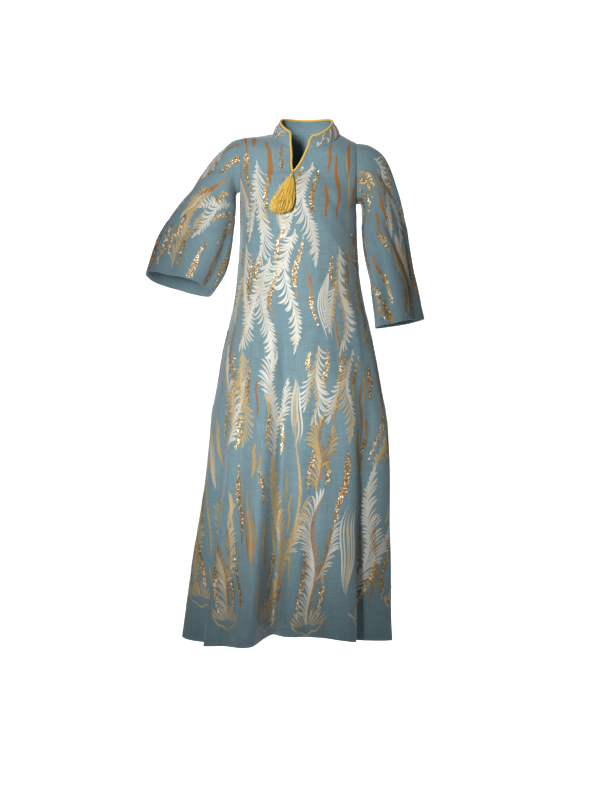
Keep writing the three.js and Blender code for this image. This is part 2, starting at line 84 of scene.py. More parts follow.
# Outline of the garment at each height: side seams, centre lines, depth of front and back
BODY = table("z left right frontX front backX back", """
-1.260 -0.309 0.212 -0.046 -0.217 -0.046 0.203
-1.130 -0.291 0.210 -0.039 -0.204 -0.040 0.188
-0.980 -0.269 0.209 -0.030 -0.190 -0.030 0.170
-0.830 -0.249 0.209 -0.022 -0.175 -0.022 0.154
-0.680 -0.235 0.201 -0.017 -0.160 -0.017 0.137
-0.530 -0.223 0.191 -0.016 -0.148 -0.015 0.117
-0.445 -0.204 0.174 -0.018 -0.142 -0.015 0.103
-0.357 -0.184 0.151 -0.022 -0.140 -0.015 0.098
-0.257 -0.172 0.130 -0.027 -0.140 -0.015 0.103
-0.150 -0.165 0.124 -0.031 -0.127 -0.014 0.104
-0.104 -0.165 0.124 -0.032 -0.109 -0.010 0.098
-0.050 -0.165 0.124 -0.032 -0.090 -0.005 0.086
 0.013 -0.165 0.124 -0.032 -0.075  0.000 0.062
""")
YOKE_LEVEL = -0.215

# Hem: its height round the body, from the centre front towards +X
HEM = table("around z", """
-180 -1.230; -135 -1.234; -90 -1.228; -75 -1.242; -50 -1.250
-24 -1.240; -10 -1.222; 15 -1.222; 35 -1.236; 67 -1.246
90 -1.248; 135 -1.236; 180 -1.230
""")

# Folds of the body: ridge out (or groove), crest leaning along, from and full are heights
BODY_FOLDS = table("around width out lean start full", """
-76   8  0.008      0 -0.560 -1.240
-58   7 -0.026      0 -0.600 -1.240
-44   5  0.017 -0.009 -0.620 -1.240
-36   4 -0.006      0 -0.620 -1.240
-26   7  0.033  0.037 -0.420 -1.180
-12 7.5 -0.064      0 -0.380 -1.120
  1   6  0.006      0 -0.520 -1.240
 10   5 -0.009      0 -0.420 -1.240
 21   5 -0.007      0 -0.620 -1.240
 32   7  0.021  0.011 -0.520 -1.220
 49   9 -0.043      0 -0.480 -1.200
 69   6  0.015      0 -0.430 -1.240
 82   5 -0.010      0 -0.620 -1.240
104   7 -0.024      0 -0.520 -1.240
121   8  0.026  0.012 -0.460 -1.240
139   7 -0.026      0 -0.480 -1.200
159   9  0.018 -0.008 -0.520 -1.240
177   7 -0.022      0 -0.440 -1.240
196   8  0.022  0.010 -0.500 -1.240
215   7 -0.024      0 -0.420 -1.220
234   9  0.024 -0.012 -0.480 -1.240
254   6 -0.017      0 -0.560 -1.240
""")

# Neckline and top of the collar: tilted rings round the neck; its ends, and the front notch
NECKLINE = dict(half_width=0.084, half_depth=0.0735, y=-0.0115, level=-0.0062, tilt=-0.0285, saddle=-0.0092)
COLLAR_TOP = dict(half_width=0.067, half_depth=0.0625, y=-0.0125, level=0.0245, tilt=-0.030, saddle=-0.0085)
COLLAR_BULGE = 0.0025
LEFT_SEAM, RIGHT_SEAM = -29, 3.6
LEFT_TOP, RIGHT_TOP = -37.7, 11.2
NOTCH = table("row leftX leftZ rightX rightZ", """
0 -0.0320 -0.104 -0.0320  -0.104
1 -0.0385 -0.096 -0.0240  -0.097
2 -0.0405 -0.077 -0.0125  -0.080
3 -0.0400 -0.057 -0.0030  -0.061
4 -0.0407 -0.036  0.0053 -0.0438
""")

# Sleeves: outer and inner edge seen from the front, half the depth, lift of the front
SLEEVES = tables("at outerX outerY outerZ innerX innerY innerZ half lift", right="""
0.00 -0.158 0.000 -0.003 -0.165  0.000 -0.138 0.054 0.000
0.10 -0.190 0.004 -0.015 -0.176  0.000 -0.142 0.057 0.001
0.30 -0.246 0.010 -0.073 -0.177 -0.002 -0.184 0.063 0.004
0.50 -0.301 0.018 -0.147 -0.181 -0.004 -0.232 0.068 0.006
0.70 -0.348 0.024 -0.210 -0.188 -0.006 -0.287 0.074 0.008
0.85 -0.381 0.028 -0.271 -0.202 -0.004 -0.339 0.079 0.011
1.00 -0.404 0.030 -0.343 -0.234  0.000 -0.390 0.084 0.014
""", left="""
0.00 0.125 0.000 -0.016 0.124  0.000 -0.168 0.055 0.000
0.10 0.160 0.003 -0.024 0.136 -0.004 -0.170 0.058 0.000
0.25 0.198 0.006 -0.057 0.138 -0.016 -0.203 0.060 0.000
0.45 0.228 0.008 -0.146 0.139 -0.036 -0.244 0.062 0.000
0.62 0.249 0.010 -0.233 0.144 -0.058 -0.294 0.065 0.000
0.80 0.272 0.012 -0.340 0.157 -0.078 -0.374 0.070 0.001
1.00 0.296 0.014 -0.455 0.168 -0.090 -0.482 0.078 0.002
""")
SLEEVE_FOLDS = tables("turn width out start full", right="""
 35 15  0.007 0.20 0.8
 70 16 -0.009 0.30 0.9
112 16  0.008 0.15 0.9
150 14 -0.010 0.25 0.7
225 18  0.008 0.30 1.0
275 18 -0.009 0.30 1.0
320 16  0.006 0.30 1.0
""", left="""
 50 15 -0.007 0.20 1.0
 85 14  0.008 0.30 1.0
118 13 -0.012 0.35 1.0
148 12  0.011 0.40 1.0
245 17 -0.007 0.30 1.0
290 17  0.008 0.30 1.0
""")

# Soft creases: place on the flat cloth, direction from upright, half length, half width, depth
CREASES = tables("p v slant long wide out", front="""
-0.105  0.020  38 0.075 0.011 -0.0030
-0.085 -0.035  33 0.090 0.013  0.0028
 0.112  0.005 -40 0.070 0.010 -0.0028
 0.090 -0.060 -30 0.085 0.012  0.0024
-0.020  0.060   8 0.050 0.012 -0.0022
 0.060  0.080 -14 0.045 0.010  0.0022
-0.120 -0.250  12 0.150 0.013 -0.0036
 0.085 -0.285  -7 0.170 0.012 -0.0036
 0.030 -0.330   5 0.130 0.014  0.0032
 0.150 -0.300 -10 0.140 0.013  0.0034
-0.060 -0.420  -6 0.120 0.012  0.0030
-0.170 -0.470   9 0.140 0.014 -0.0040
 0.200 -0.520  -8 0.150 0.013 -0.0040
-0.230 -0.700   6 0.170 0.012  0.0036
 0.260 -0.760  -5 0.160 0.013  0.0036
 0.045 -0.800   3 0.180 0.010 -0.0026
""", back="""
 0.100  0.030 -35 0.080 0.012 -0.0030
-0.110  0.015  32 0.085 0.011 -0.0028
-0.020 -0.120   6 0.110 0.013  0.0032
 0.055 -0.240  -8 0.140 0.012 -0.0036
-0.095 -0.270   9 0.160 0.014 -0.0038
 0.140 -0.330 -11 0.130 0.012  0.0034
-0.160 -0.450   7 0.150 0.013  0.0036
 0.010 -0.520   4 0.140 0.012 -0.0030
 0.210 -0.620  -6 0.170 0.013 -0.0038
-0.240 -0.740   5 0.160 0.012  0.0034
""", right="""
 0.050 -0.110  28 0.070 0.010 -0.0070
 0.085 -0.150  34 0.080 0.011  0.0060
 0.015 -0.190  16 0.090 0.012 -0.0070
 0.110 -0.240  22 0.080 0.011 -0.0062
-0.060 -0.160 -24 0.080 0.012  0.0062
-0.110 -0.090 -32 0.065 0.010 -0.0056
 0.135 -0.085  42 0.050 0.009 -0.0056
-0.030 -0.290 -10 0.075 0.012  0.0056
""", left="""
-0.060 -0.120 -20 0.080 0.010 -0.0070
-0.020 -0.180  -8 0.100 0.012  0.0060
-0.095 -0.240 -12 0.110 0.011 -0.0070
-0.045 -0.350   6 0.090 0.011 -0.0060
 0.050 -0.150  20 0.085 0.012  0.0062
 0.110 -0.240  14 0.095 0.012 -0.0060
 0.030 -0.330  -8 0.090 0.012  0.0056
""")
RIPPLE = 0.0009  # faint unevenness of the loose cloth
RIPPLES = table("across down phase", """
31 5 0.4; 52 -9 2.1; 87 13 4.4; 19 -23 1.2; 41 33 5.0
""")


def sind(a):
    return np.sin(np.radians(a))


def cosd(a):
    return np.cos(np.radians(a))


def mix(a, b, t):
    return a + (b - a) * t


def ramp(start, end, value):
    return np.clip((value - start) / (end - start), 0, 1)


def smooth(start, end, value):
    t = ramp(start, end, value)
    return t * t * (3 - 2 * t)


def point(x, y, z):
    return np.stack(np.broadcast_arrays(x, y, z), axis=-1).astype(float)


def unit(v):
    return v / np.maximum(np.linalg.norm(v, axis=-1, keepdims=True), 1e-12)


def read(rows, column, at):
    """One column of a table at any places between its rows, along a smooth curve."""
    key, value = rows[next(iter(rows))], rows[column]
    slope = np.empty(len(key))
    slope[1:-1] = (value[2:] - value[:-2]) / (key[2:] - key[:-2])
    slope[0] = (value[1] - value[0]) / (key[1] - key[0])
    slope[-1] = (value[-1] - value[-2]) / (key[-1] - key[-2])
    i = np.clip(np.searchsorted(key, at) - 1, 0, len(key) - 2)
    step = key[i + 1] - key[i]
    t = np.clip((at - key[i]) / step, 0, 1)
    t2, t3 = t**2, t**3
    return (
        value[i] * (2 * t3 - 3 * t2 + 1)
        + slope[i] * step * (t3 - 2 * t2 + t)
        + value[i + 1] * (3 * t2 - 2 * t3)
        + slope[i + 1] * step * (t3 - t2)
    )


def folded(angle, centre, width):
    """1 on the crest of a fold and 0 away from it."""
    away = ((angle - centre + 540) % 360 - 180) / width
    return np.exp(-away * away)


def ring_point(ring, turn):
    return point(
        ring["half_width"] * sind(turn),
        ring["y"] - ring["half_depth"] * cosd(turn),
        ring["level"] + ring["tilt"] * cosd(turn) + ring["saddle"] * cosd(2 * turn),
    )


def sleeve_point(name, at, turn):
    """turn is 0 at the outer edge, 90 at the front, 180 at the inner edge."""
    at, turn = np.broadcast_arrays(np.asarray(at, float), np.asarray(turn, float))
    size = lambda column: read(SLEEVES[name], column, at)
    outer = point(size("outerX"), size("outerY"), size("outerZ"))
    inner = point(size("innerX"), size("innerY"), size("innerZ"))
    forward = point(0 * at, -size("half"), size("lift"))
    spoke = (outer - inner) / 2 * cosd(turn)[..., None] + forward * sind(turn)[..., None]
    folds = SLEEVE_FOLDS[name]
    out = 0 * at
    for centre, width, height, start, full in zip(*folds.values()):
        out = out + height * folded(turn, centre, width) * ramp(start, full, at)
    length = np.linalg.norm(spoke, axis=-1)
    return (outer + inner) / 2 + spoke * (1 + out / length)[..., None]


def armhole_point(side, turn):
    return sleeve_point("right" if side < 0 else "left", 0, turn)


def skirt_point(face, side, quarter, up):
    """quarter goes from 0 at the centre line to 90 at the side seam, up from 0 at the hem to 1."""
    quarter, up = np.broadcast_arrays(np.asarray(quarter, float), np.asarray(up, float))
    around = side * quarter if face == "front" else 180 - side * quarter
    underarm = armhole_point(side, 180)
    hem = read(HEM, "z", np.where(around > 180, around - 360, around))
    z = mix(hem, mix(YOKE_LEVEL, underarm[2], quarter / 90), up)
    centre_x = read(BODY, face + "X", z)
    seam_x = read(BODY, "left" if side < 0 else "right", z)
    seam_x = mix(seam_x, underarm[0], np.maximum(0, 2 * up - 1))
    out, lean = 0 * z, 0 * z
    for centre, width, height, tip, start, full in zip(*BODY_FOLDS.values()):
        share = folded(around, centre, width) * ramp(start, full, z)
        out = out + height * share
        lean = lean + tip * share
    x = mix(centre_x, seam_x, sind(quarter)) + sind(around) * out + cosd(around) * lean
    y = read(BODY, face, z) * cosd(quarter) - cosd(around) * out + sind(around) * lean
    return point(x, y, z)


def front_border(side, row):
    """Centre line, notch and neckline of the front."""
    row = np.asarray(row, float)
    name, end = ("left", LEFT_SEAM) if side < 0 else ("right", RIGHT_SEAM)
    foot = NOTCH["leftZ"][0]
    z = mix(YOKE_LEVEL, foot, row / CENTRE_ROWS)
    centre = point(read(BODY, "frontX", z), read(BODY, "front", z), z)
    down = np.clip(row - CENTRE_ROWS, 0, NOTCH_ROWS)
    notch_y = mix(read(BODY, "front", foot), ring_point(NECKLINE, end)[1], down / NOTCH_ROWS)
    notch = point(read(NOTCH, name + "X", down), notch_y, read(NOTCH, name + "Z", down))
    neck = ring_point(NECKLINE, mix(end, side * 90, (row - CENTRE_ROWS - NOTCH_ROWS) / NECK_ROWS))
    low, high = row <= CENTRE_ROWS, row >= CENTRE_ROWS + NOTCH_ROWS
    return np.where(low[..., None], centre, np.where(high[..., None], neck, notch))


def back_border(side, row):
    """Centre line and neckline of the back."""
    row = np.asarray(row, float)
    rows = CENTRE_ROWS + NOTCH_ROWS
    z = mix(YOKE_LEVEL, ring_point(NECKLINE, 180)[2], row / rows)
    centre = point(read(BODY, "backX", z), read(BODY, "back", z), z)
    neck = ring_point(NECKLINE, mix(side * 180, side * 90, (row - rows) / NECK_ROWS))
    return np.where((row <= rows)[..., None], centre, neck)


def yoke_point(face, side, quarter, row):
    """Between underarm and shoulder seam: round at the underarm, straight at the shoulder."""
    quarter, row = np.broadcast_arrays(np.asarray(quarter, float), np.asarray(row, float))
    up = row / YOKE_ROWS
    inner = front_border(side, row) if face == "front" else back_border(side, row)
    outer = armhole_point(side, 180 * (1 - up) if face == "front" else 180 * (1 + up))
    straight, roundness = quarter / 90, cosd(90 * up)
    share_x = mix(straight, sind(quarter), roundness)
    share_y = mix(straight, 1 - cosd(quarter), roundness)
    return mix(inner, outer, point(share_x, share_y, straight))


def collar_point(turn, up):
    turn, up = np.broadcast_arrays(np.asarray(turn, float), np.asarray(up, float))
    share = (turn - LEFT_SEAM) / (RIGHT_SEAM - 360 - LEFT_SEAM)
    top_turn = mix(LEFT_TOP, RIGHT_TOP - 360, share)
    bulge = COLLAR_BULGE * 4 * up * (1 - up)
    base = mix(ring_point(NECKLINE, turn), ring_point(COLLAR_TOP, top_turn), up[..., None])
    return base + point(bulge * sind(top_turn), -bulge * cosd(top_turn), 0)


# Where the rows and columns lie: denser at the hem and beside the seams
HEM_UPS = np.array([0, 0.004, 0.008, 0.0113, 0.0121, 0.016])
SKIRT_UPS = np.concatenate([HEM_UPS, np.linspace(0.024, 1, SKIRT_ROWS)[:-1]])
YOKE_AT = np.sort(np.append(np.linspace(0, YOKE_ROWS, YOKE_ROWS * YOKE_STEPS + 1), YOKE_ROWS - 0.08))
QUARTERS = 90 * np.sort(np.append(np.linspace(0, 1, BODY_COLUMNS + 1), [0.9945, 0.982]))
CUFF_ATS = np.array([1, 0.990, 0.980, 0.9705, 0.9685, 0.960])
SLEEVE_ATS = np.concatenate([CUFF_ATS, np.linspace(0.95, 0, SLEEVE_ROWS), [0.005]])
SLEEVE_ATS = np.sort(SLEEVE_ATS)[::-1]
HALF_TURNS = 180 * (1 - YOKE_AT / YOKE_ROWS)


class Grid:
    """A stretch of cloth as rows of points. p and v are its places on the flat cloth, across and up."""

    def __init__(self, points, p, v, edge, hem):
        self.points, self.p, self.v = points, p, v
        self.edge = edge  # distance to the nearest seam
        self.hem = hem  # distance to the hem
        self.normals = None


def running(points, axis):
    step = np.linalg.norm(np.diff(points, axis=axis), axis=-1)
    return np.concatenate([np.zeros_like(step.take([0], axis)), np.cumsum(step, axis)], axis)


def lengths_along(path):
    """The length from the start of a path to each of its points."""
    return np.concatenate([[0], np.cumsum(np.linalg.norm(np.diff(path, axis=0), axis=1))])


def flat_lengths(x, y):
    return np.concatenate([[0], np.cumsum(np.hypot(np.diff(x), np.diff(y)))])


def upward(points, p):
    """Lengths up the cloth from its lowest row."""
    step = np.linalg.norm(np.diff(points, axis=0), axis=-1)
    step = np.sqrt(np.maximum(step**2 - np.diff(p, axis=0) ** 2, (0.2 * step) ** 2))
    return np.concatenate([np.zeros((1, p.shape[1])), np.cumsum(step, 0)], 0)


def body_grid(face, side):
    q = QUARTERS[None, :]
    skirt = skirt_point(face, side, q, SKIRT_UPS[:, None])
    yoke = yoke_point(face, side, q, YOKE_AT[:, None])
    points = np.concatenate([skirt, yoke])
    p = running(points, 1)
    to_armhole = p[:, -1:] - p
    border = points[:, 0]
    centre_x = read(BODY, face + "X", border[:, 2])
    high = np.arange(len(points)) >= len(SKIRT_UPS)
    p = p + np.where(high, np.abs(border[:, 0] - centre_x), 0)[:, None] * np.sign(
        side * (border[:, 0] - centre_x) + 1e-9
    )[:, None]
    v = upward(points, p)
    v = v - v[len(SKIRT_UPS)]
    edge = np.minimum(to_armhole, (v[-1:] - v))
    neck_row = len(SKIRT_UPS) + (CENTRE_ROWS + NOTCH_ROWS) * YOKE_STEPS
    away = np.where(np.arange(len(points)) >= neck_row, 0, 1)  # below it the inner border is no seam
    edge = np.minimum(edge, running(points, 1) + away[:, None])
    hem = v - v[:1]
    forward = (face == "front") == (side > 0)
    if forward:
        return Grid(points, p, v, edge, hem)
    turned = [a[:, ::-1] for a in (points, -p, v, edge, hem)]
    return Grid(*turned)


def sleeve_grid(name):
    turns = np.concatenate([HALF_TURNS, -HALF_TURNS[::-1][1:]])
    turns = turns if name == "left" else turns[::-1]
    points = sleeve_point(name, SLEEVE_ATS[:, None], turns[None, :])
    middle = len(HALF_TURNS) - 1
    p = running(points, 1)
    p = p - p[:, middle : middle + 1]
    v = upward(points, p)
    hem = v - v[:1]
    v = v - v[-1:]
    return Grid(points, p, v, -v, hem)


def collar_turns():
    at = (YOKE_AT[YOKE_AT >= CENTRE_ROWS + NOTCH_ROWS] - CENTRE_ROWS - NOTCH_ROWS) / NECK_ROWS
    quarters = [
        mix(LEFT_SEAM, -90, at),
        mix(-180, -90, at)[::-1][1:],
        mix(-180, -270, at)[1:],
        mix(RIGHT_SEAM - 360, -270, at)[::-1][1:],
    ]
    return np.concatenate(quarters)[::-1]


def collar_grid():
    ups = np.linspace(0, 1, COLLAR_ROWS + 1)
    points = collar_point(collar_turns()[None, :], ups[:, None])
    p = running(points, 1)
    v = running(points, 0)
    return Grid(points, p, v, v, 1 + v)


def quads(*corners):
    """Faces from four arrays with the numbers of their corners."""
    return np.stack([c.ravel() for c in corners], 1)


def quads_of(rows, columns):
    index = np.arange(rows * columns).reshape(rows, columns)
    return quads(index[:-1, :-1], index[:-1, 1:], index[1:, 1:], index[1:, :-1])


def joined(grids):
    """All points and faces of several grids, and the same points once each."""
    points, faces, start = [], [], 0
    for grid in grids:
        rows, columns = grid.p.shape
        points.append(grid.points.reshape(-1, 3))
        faces.append(quads_of(rows, columns) + start)
        start += rows * columns
    points = np.concatenate(points)
    keys = np.round(points * 1e5).astype(np.int64)
    _, first, weld = np.unique(keys, axis=0, return_index=True, return_inverse=True)
    return points, np.concatenate(faces), first, weld.ravel()


def share_normals(grids):
    """Gives each grid its normals, the same on both sides of a seam."""
    points, faces, first, weld = joined(grids)
    total = np.zeros((len(first), 3))
    for k in range(4):
        here, after, before = faces[:, k], faces[:, (k + 1) % 4], faces[:, k - 1]
        a, b = points[after] - points[here], points[before] - points[here]
        cross = np.cross(a, b)
        size = np.linalg.norm(cross, axis=1)
        angle = np.arctan2(size, (a * b).sum(1))
        np.add.at(total, weld[here], cross / np.maximum(size, 1e-15)[:, None] * angle[:, None])
    normals = unit(total)[weld]
    start = 0
    for grid in grids:
        count = grid.p.size
        grid.normals = normals[start : start + count].reshape(grid.points.shape)
        start += count


def crease(grid, rows):
    """Adds soft creases and faint ripples, which fade out towards seams and hem."""
    out = np.zeros_like(grid.p)
    for p, v, slant, long, wide, height in zip(*rows.values()):
        across, up = grid.p - p, grid.v - v
        along = across * sind(slant) + up * cosd(slant)
        beside = across * cosd(slant) - up * sind(slant)
        out += height * np.exp(-((along / long) ** 2) - (beside / wide) ** 2)
    for across, down, phase in zip(*RIPPLES.values()):
        out += RIPPLE * np.sin(across * grid.p + down * grid.v + phase) * 0.5
    fade = smooth(0.002, 0.03, grid.edge) * smooth(-0.01, 0.04, grid.hem)
    grid.points = grid.points + grid.normals * (out * fade)[..., None]


def dip_seams(grid):
    dip = SEAM_DIP * np.exp(-((grid.edge / SEAM_REACH) ** 2))
    grid.points = grid.points - grid.normals * dip[..., None]


def new_object(name, vertices, faces, uv, tone=None, flat_faces=None):
    """A mesh from arrays. faces has 3 or 4 columns; uv has one row for each face corner."""
    mesh = bpy.data.meshes.new(name)
    sides = faces.shape[1]
    mesh.vertices.add(len(vertices))
    mesh.vertices.foreach_set("co", vertices.astype(np.float32).ravel())
    mesh.loops.add(faces.size)
    mesh.loops.foreach_set("vertex_index", faces.astype(np.int32).ravel())
    mesh.polygons.add(len(faces))
    mesh.polygons.foreach_set("loop_start", (np.arange(len(faces)) * sides).astype(np.int32))
    is_smooth = np.ones(len(faces), bool) if flat_faces is None else ~flat_faces
    mesh.polygons.foreach_set("use_smooth", is_smooth)
    mesh.uv_layers.new(name="flat").uv.foreach_set("vector", uv.astype(np.float32).ravel())
    if tone is not None:
        layer = mesh.attributes.new("tone", "FLOAT", "POINT")
        layer.data.foreach_set("value", tone.astype(np.float32))
    mesh.update(calc_edges=True)
    mesh.validate()
    obj = bpy.data.objects.new(name, mesh)
    bpy.context.scene.collection.objects.link(obj)
    return obj


def cloth_object(name, grids):
    """A thin closed shell on the given grids, thicker at its folded hem."""
    points, corners, first, weld = joined(grids)
    gather = lambda field: np.concatenate([getattr(g, field).reshape(-1) for g in grids])
    normals = np.concatenate([g.normals.reshape(-1, 3) for g in grids])[first]
    fold = HEM_FOLD * (1 - smooth(HEM_WIDTH * 0.93, HEM_WIDTH, gather("hem")[first]))
    outer = points[first] + normals * CLOTH_THICKNESS / 2
    inner = points[first] - normals * (CLOTH_THICKNESS / 2 + fold)[:, None]
    flat = np.stack([gather("p"), gather("v")], 1)
    faces = weld[corners]
    count = len(first)
    start, end = faces.ravel(), np.roll(faces, -1, axis=1).ravel()
    open_edge = ~np.isin(start * count + end, end * count + start)
    start, end = start[open_edge], end[open_edge]
    rim = np.stack([end, start, start + count, end + count], 1)
    flat_once = flat[first]
    rim_uv = np.stack([flat_once[end], flat_once[start], flat_once[start], flat_once[end]], 1)
    uv = np.concatenate([flat[corners], flat[corners][:, ::-1], rim_uv]).reshape(-1, 2)
    everything = np.concatenate([faces, faces[:, ::-1] + count, rim])
    is_rim = np.arange(len(everything)) >= 2 * len(faces)
    return new_object(name, np.concatenate([outer, inner]), everything, uv, flat_faces=is_rim)


class Panel:
    """Leads from places on the flat cloth to places on the worn one."""

    def __init__(self, *grids):
        self.halves = [self.lattices(grid) for grid in grids]

    def lattices(self, grid):
        """For an even lattice of places on the flat cloth, the row and column of the grid there."""
        across = np.arange(grid.p.min(), grid.p.max() + FABRIC_STEP, FABRIC_STEP)
        up = np.arange(grid.v.min(), grid.v.max() + FABRIC_STEP, FABRIC_STEP)
        columns = np.arange(grid.p.shape[1])
        column_at = np.array([np.interp(across, p, columns) for p in grid.p])
        height_at = np.array([np.interp(across, p, v) for p, v in zip(grid.p, grid.v)])
        beside = 2 * FABRIC_STEP
        known = (across > grid.p[:, :1] - beside) & (across < grid.p[:, -1:] + beside)
        row_of = np.full((len(up), len(across)), np.nan)
        column_of = np.full_like(row_of, np.nan)
        for k in range(len(across)):
            rows = np.flatnonzero(known[:, k])
            if len(rows) > 1:
                v = height_at[rows, k]
                row_of[:, k] = np.interp(up, v, rows, left=np.nan, right=np.nan)
                column_of[:, k] = np.interp(up, v, column_at[rows, k])
        return grid, across[0], up[0], row_of, column_of

    def place(self, p, v, lift):
        """Points lift above the cloth's outer face, and its normals there; nan off the cloth."""
        shape = np.broadcast(p, v, lift).shape
        p, v, lift = (np.broadcast_to(a, shape).ravel() for a in (p, v, lift))
        found = np.full((len(p), 3), np.nan)
        normal = np.full((len(p), 3), np.nan)
        for grid, p0, v0, row_of, column_of in self.halves:
            a, b = (v - v0) / FABRIC_STEP, (p - p0) / FABRIC_STEP
            r, c = lattice(row_of, a, b), lattice(column_of, a, b)
            rows = np.arange(len(grid.p))
            row = np.nan_to_num(r)
            inside = (p >= np.interp(row, rows, grid.p[:, 0])) & (p <= np.interp(row, rows, grid.p[:, -1]))
            clear = (lattice(grid.edge, r, c) > EDGE_CLEAR) & (lattice(grid.hem, r, c) > EDGE_CLEAR)
            good = inside & clear
            n = unit(lattice(grid.normals, r[good], c[good]))
            up = lift[good, None] + CLOTH_THICKNESS / 2
            found[good] = lattice(grid.points, r[good], c[good]) + n * up
            normal[good] = n
        return found.reshape(shape + (3,)), normal.reshape(shape + (3,))


def lattice(values, r, c):
    """Values between the points of a lattice."""
    rows, columns = values.shape[:2]
    inside = (r >= 0) & (r <= rows - 1) & (c >= 0) & (c <= columns - 1)
    i = np.clip(np.nan_to_num(r).astype(int), 0, rows - 2)
    j = np.clip(np.nan_to_num(c).astype(int), 0, columns - 2)
    s, t = r - i, c - j
    if values.ndim == 3:
        s, t = s[:, None], t[:, None]
    found = (
        values[i, j] * (1 - s) * (1 - t)
        + values[i, j + 1] * (1 - s) * t
        + values[i + 1, j] * s * (1 - t)
        + values[i + 1, j + 1] * s * t
    )
    found[~inside] = np.nan
    return found


# Embroidery: leafy fronds, tapering streaks and bands of sequins, in a layout of their own
STITCH_LIFT = 0.0007
STITCH_FOOT = 0.0001
BAND_LIFT = 0.0005
STEM_HALF = 0.0017
STEM_WAVE = 17  # degrees by which a stem sways
LEAFLET_GAP = 0.0092
LEAFLET_HALF = 0.0023
LEAFLET_STEPS = 9
LEAFLET_SPREAD = (10, 74)  # degrees off the stem, at the foot and at the tip of a leaflet
LEAFLET_HOOK = 1.5  # how late a leaflet turns away
LEAFLET_SHAPE = table("at half", "0 0.35; 0.25 0.7; 0.62 1.15; 0.86 0.95; 1 0.1")
LEAFLET_RANGE = (0.02, 0.985)  # where along the stem they grow
LEAFLET_SIZES = (0.8, 1.12)  # random share of their length
LEAFLETS_AHEAD = 0.82  # from here to the tip of the stem they turn ahead
LEAST_LEAFLETS = 4  # on either side
LOPSIDED = 0.36  # how much longer the leaflets are on the outer side of a bend
TONE_SPREAD = 0.05  # random difference between stitches
SHOOTS = table("share side length out", "0.34 1 0.48 9")
SHOOT_REACH = 0.75
SHOOT_BEND, SHOOT_WAVE = 12, 3
SMALLEST_SPRAY = 0.10  # shorter fronds have no shoots and no bands
BAND_SWAY = 0.004
BANDS = table("side start end out half", "-1 0.06 0.66 0.62 0.0062; 1 0.05 0.46 0.60 0.0056")
SHELL_LEVEL = -0.9  # upright fronds with their foot below this stand in a shell
FAN_LEAFLETS = 11
FAN_SPREAD = 80
OUTLINE_HALF = 0.0021
OUTLINE_WIDTH = 0.078
OUTLINE_DROP = 0.026
SCALLOP = 0.006
TRESS_STRANDS = 6
TRESS_HALF = 0.0018
TRESS_WAVE = 12
TRESS_LENGTHS = (0.68, 1)  # share of the length that each strand reaches
BRUSH_PITCH = 0.0031  # between the slanting stitches of a streak
BRUSH_SLANT = 24
BRUSH_HALF = 0.0012
BRUSH_LEAST = 0.004
SEQUIN_RADIUS = 0.0016
SEQUIN_PITCH = 0.0027
SEQUIN_ROW = 0.87  # from row to row, in pitches
SEQUIN_LANES = 5  # at most, to either side
SEQUIN_STRAY = 0.0003
SEQUIN_CUP = 0.00025
SEQUIN_SIDES = 6
SEQUIN_LIFT = 0.0009
SEQUIN_TILT = 0.26
PAINTED_GLINT_SHARE = 0.09  # share of sequins coloured pale as painted glints (painted highlights)
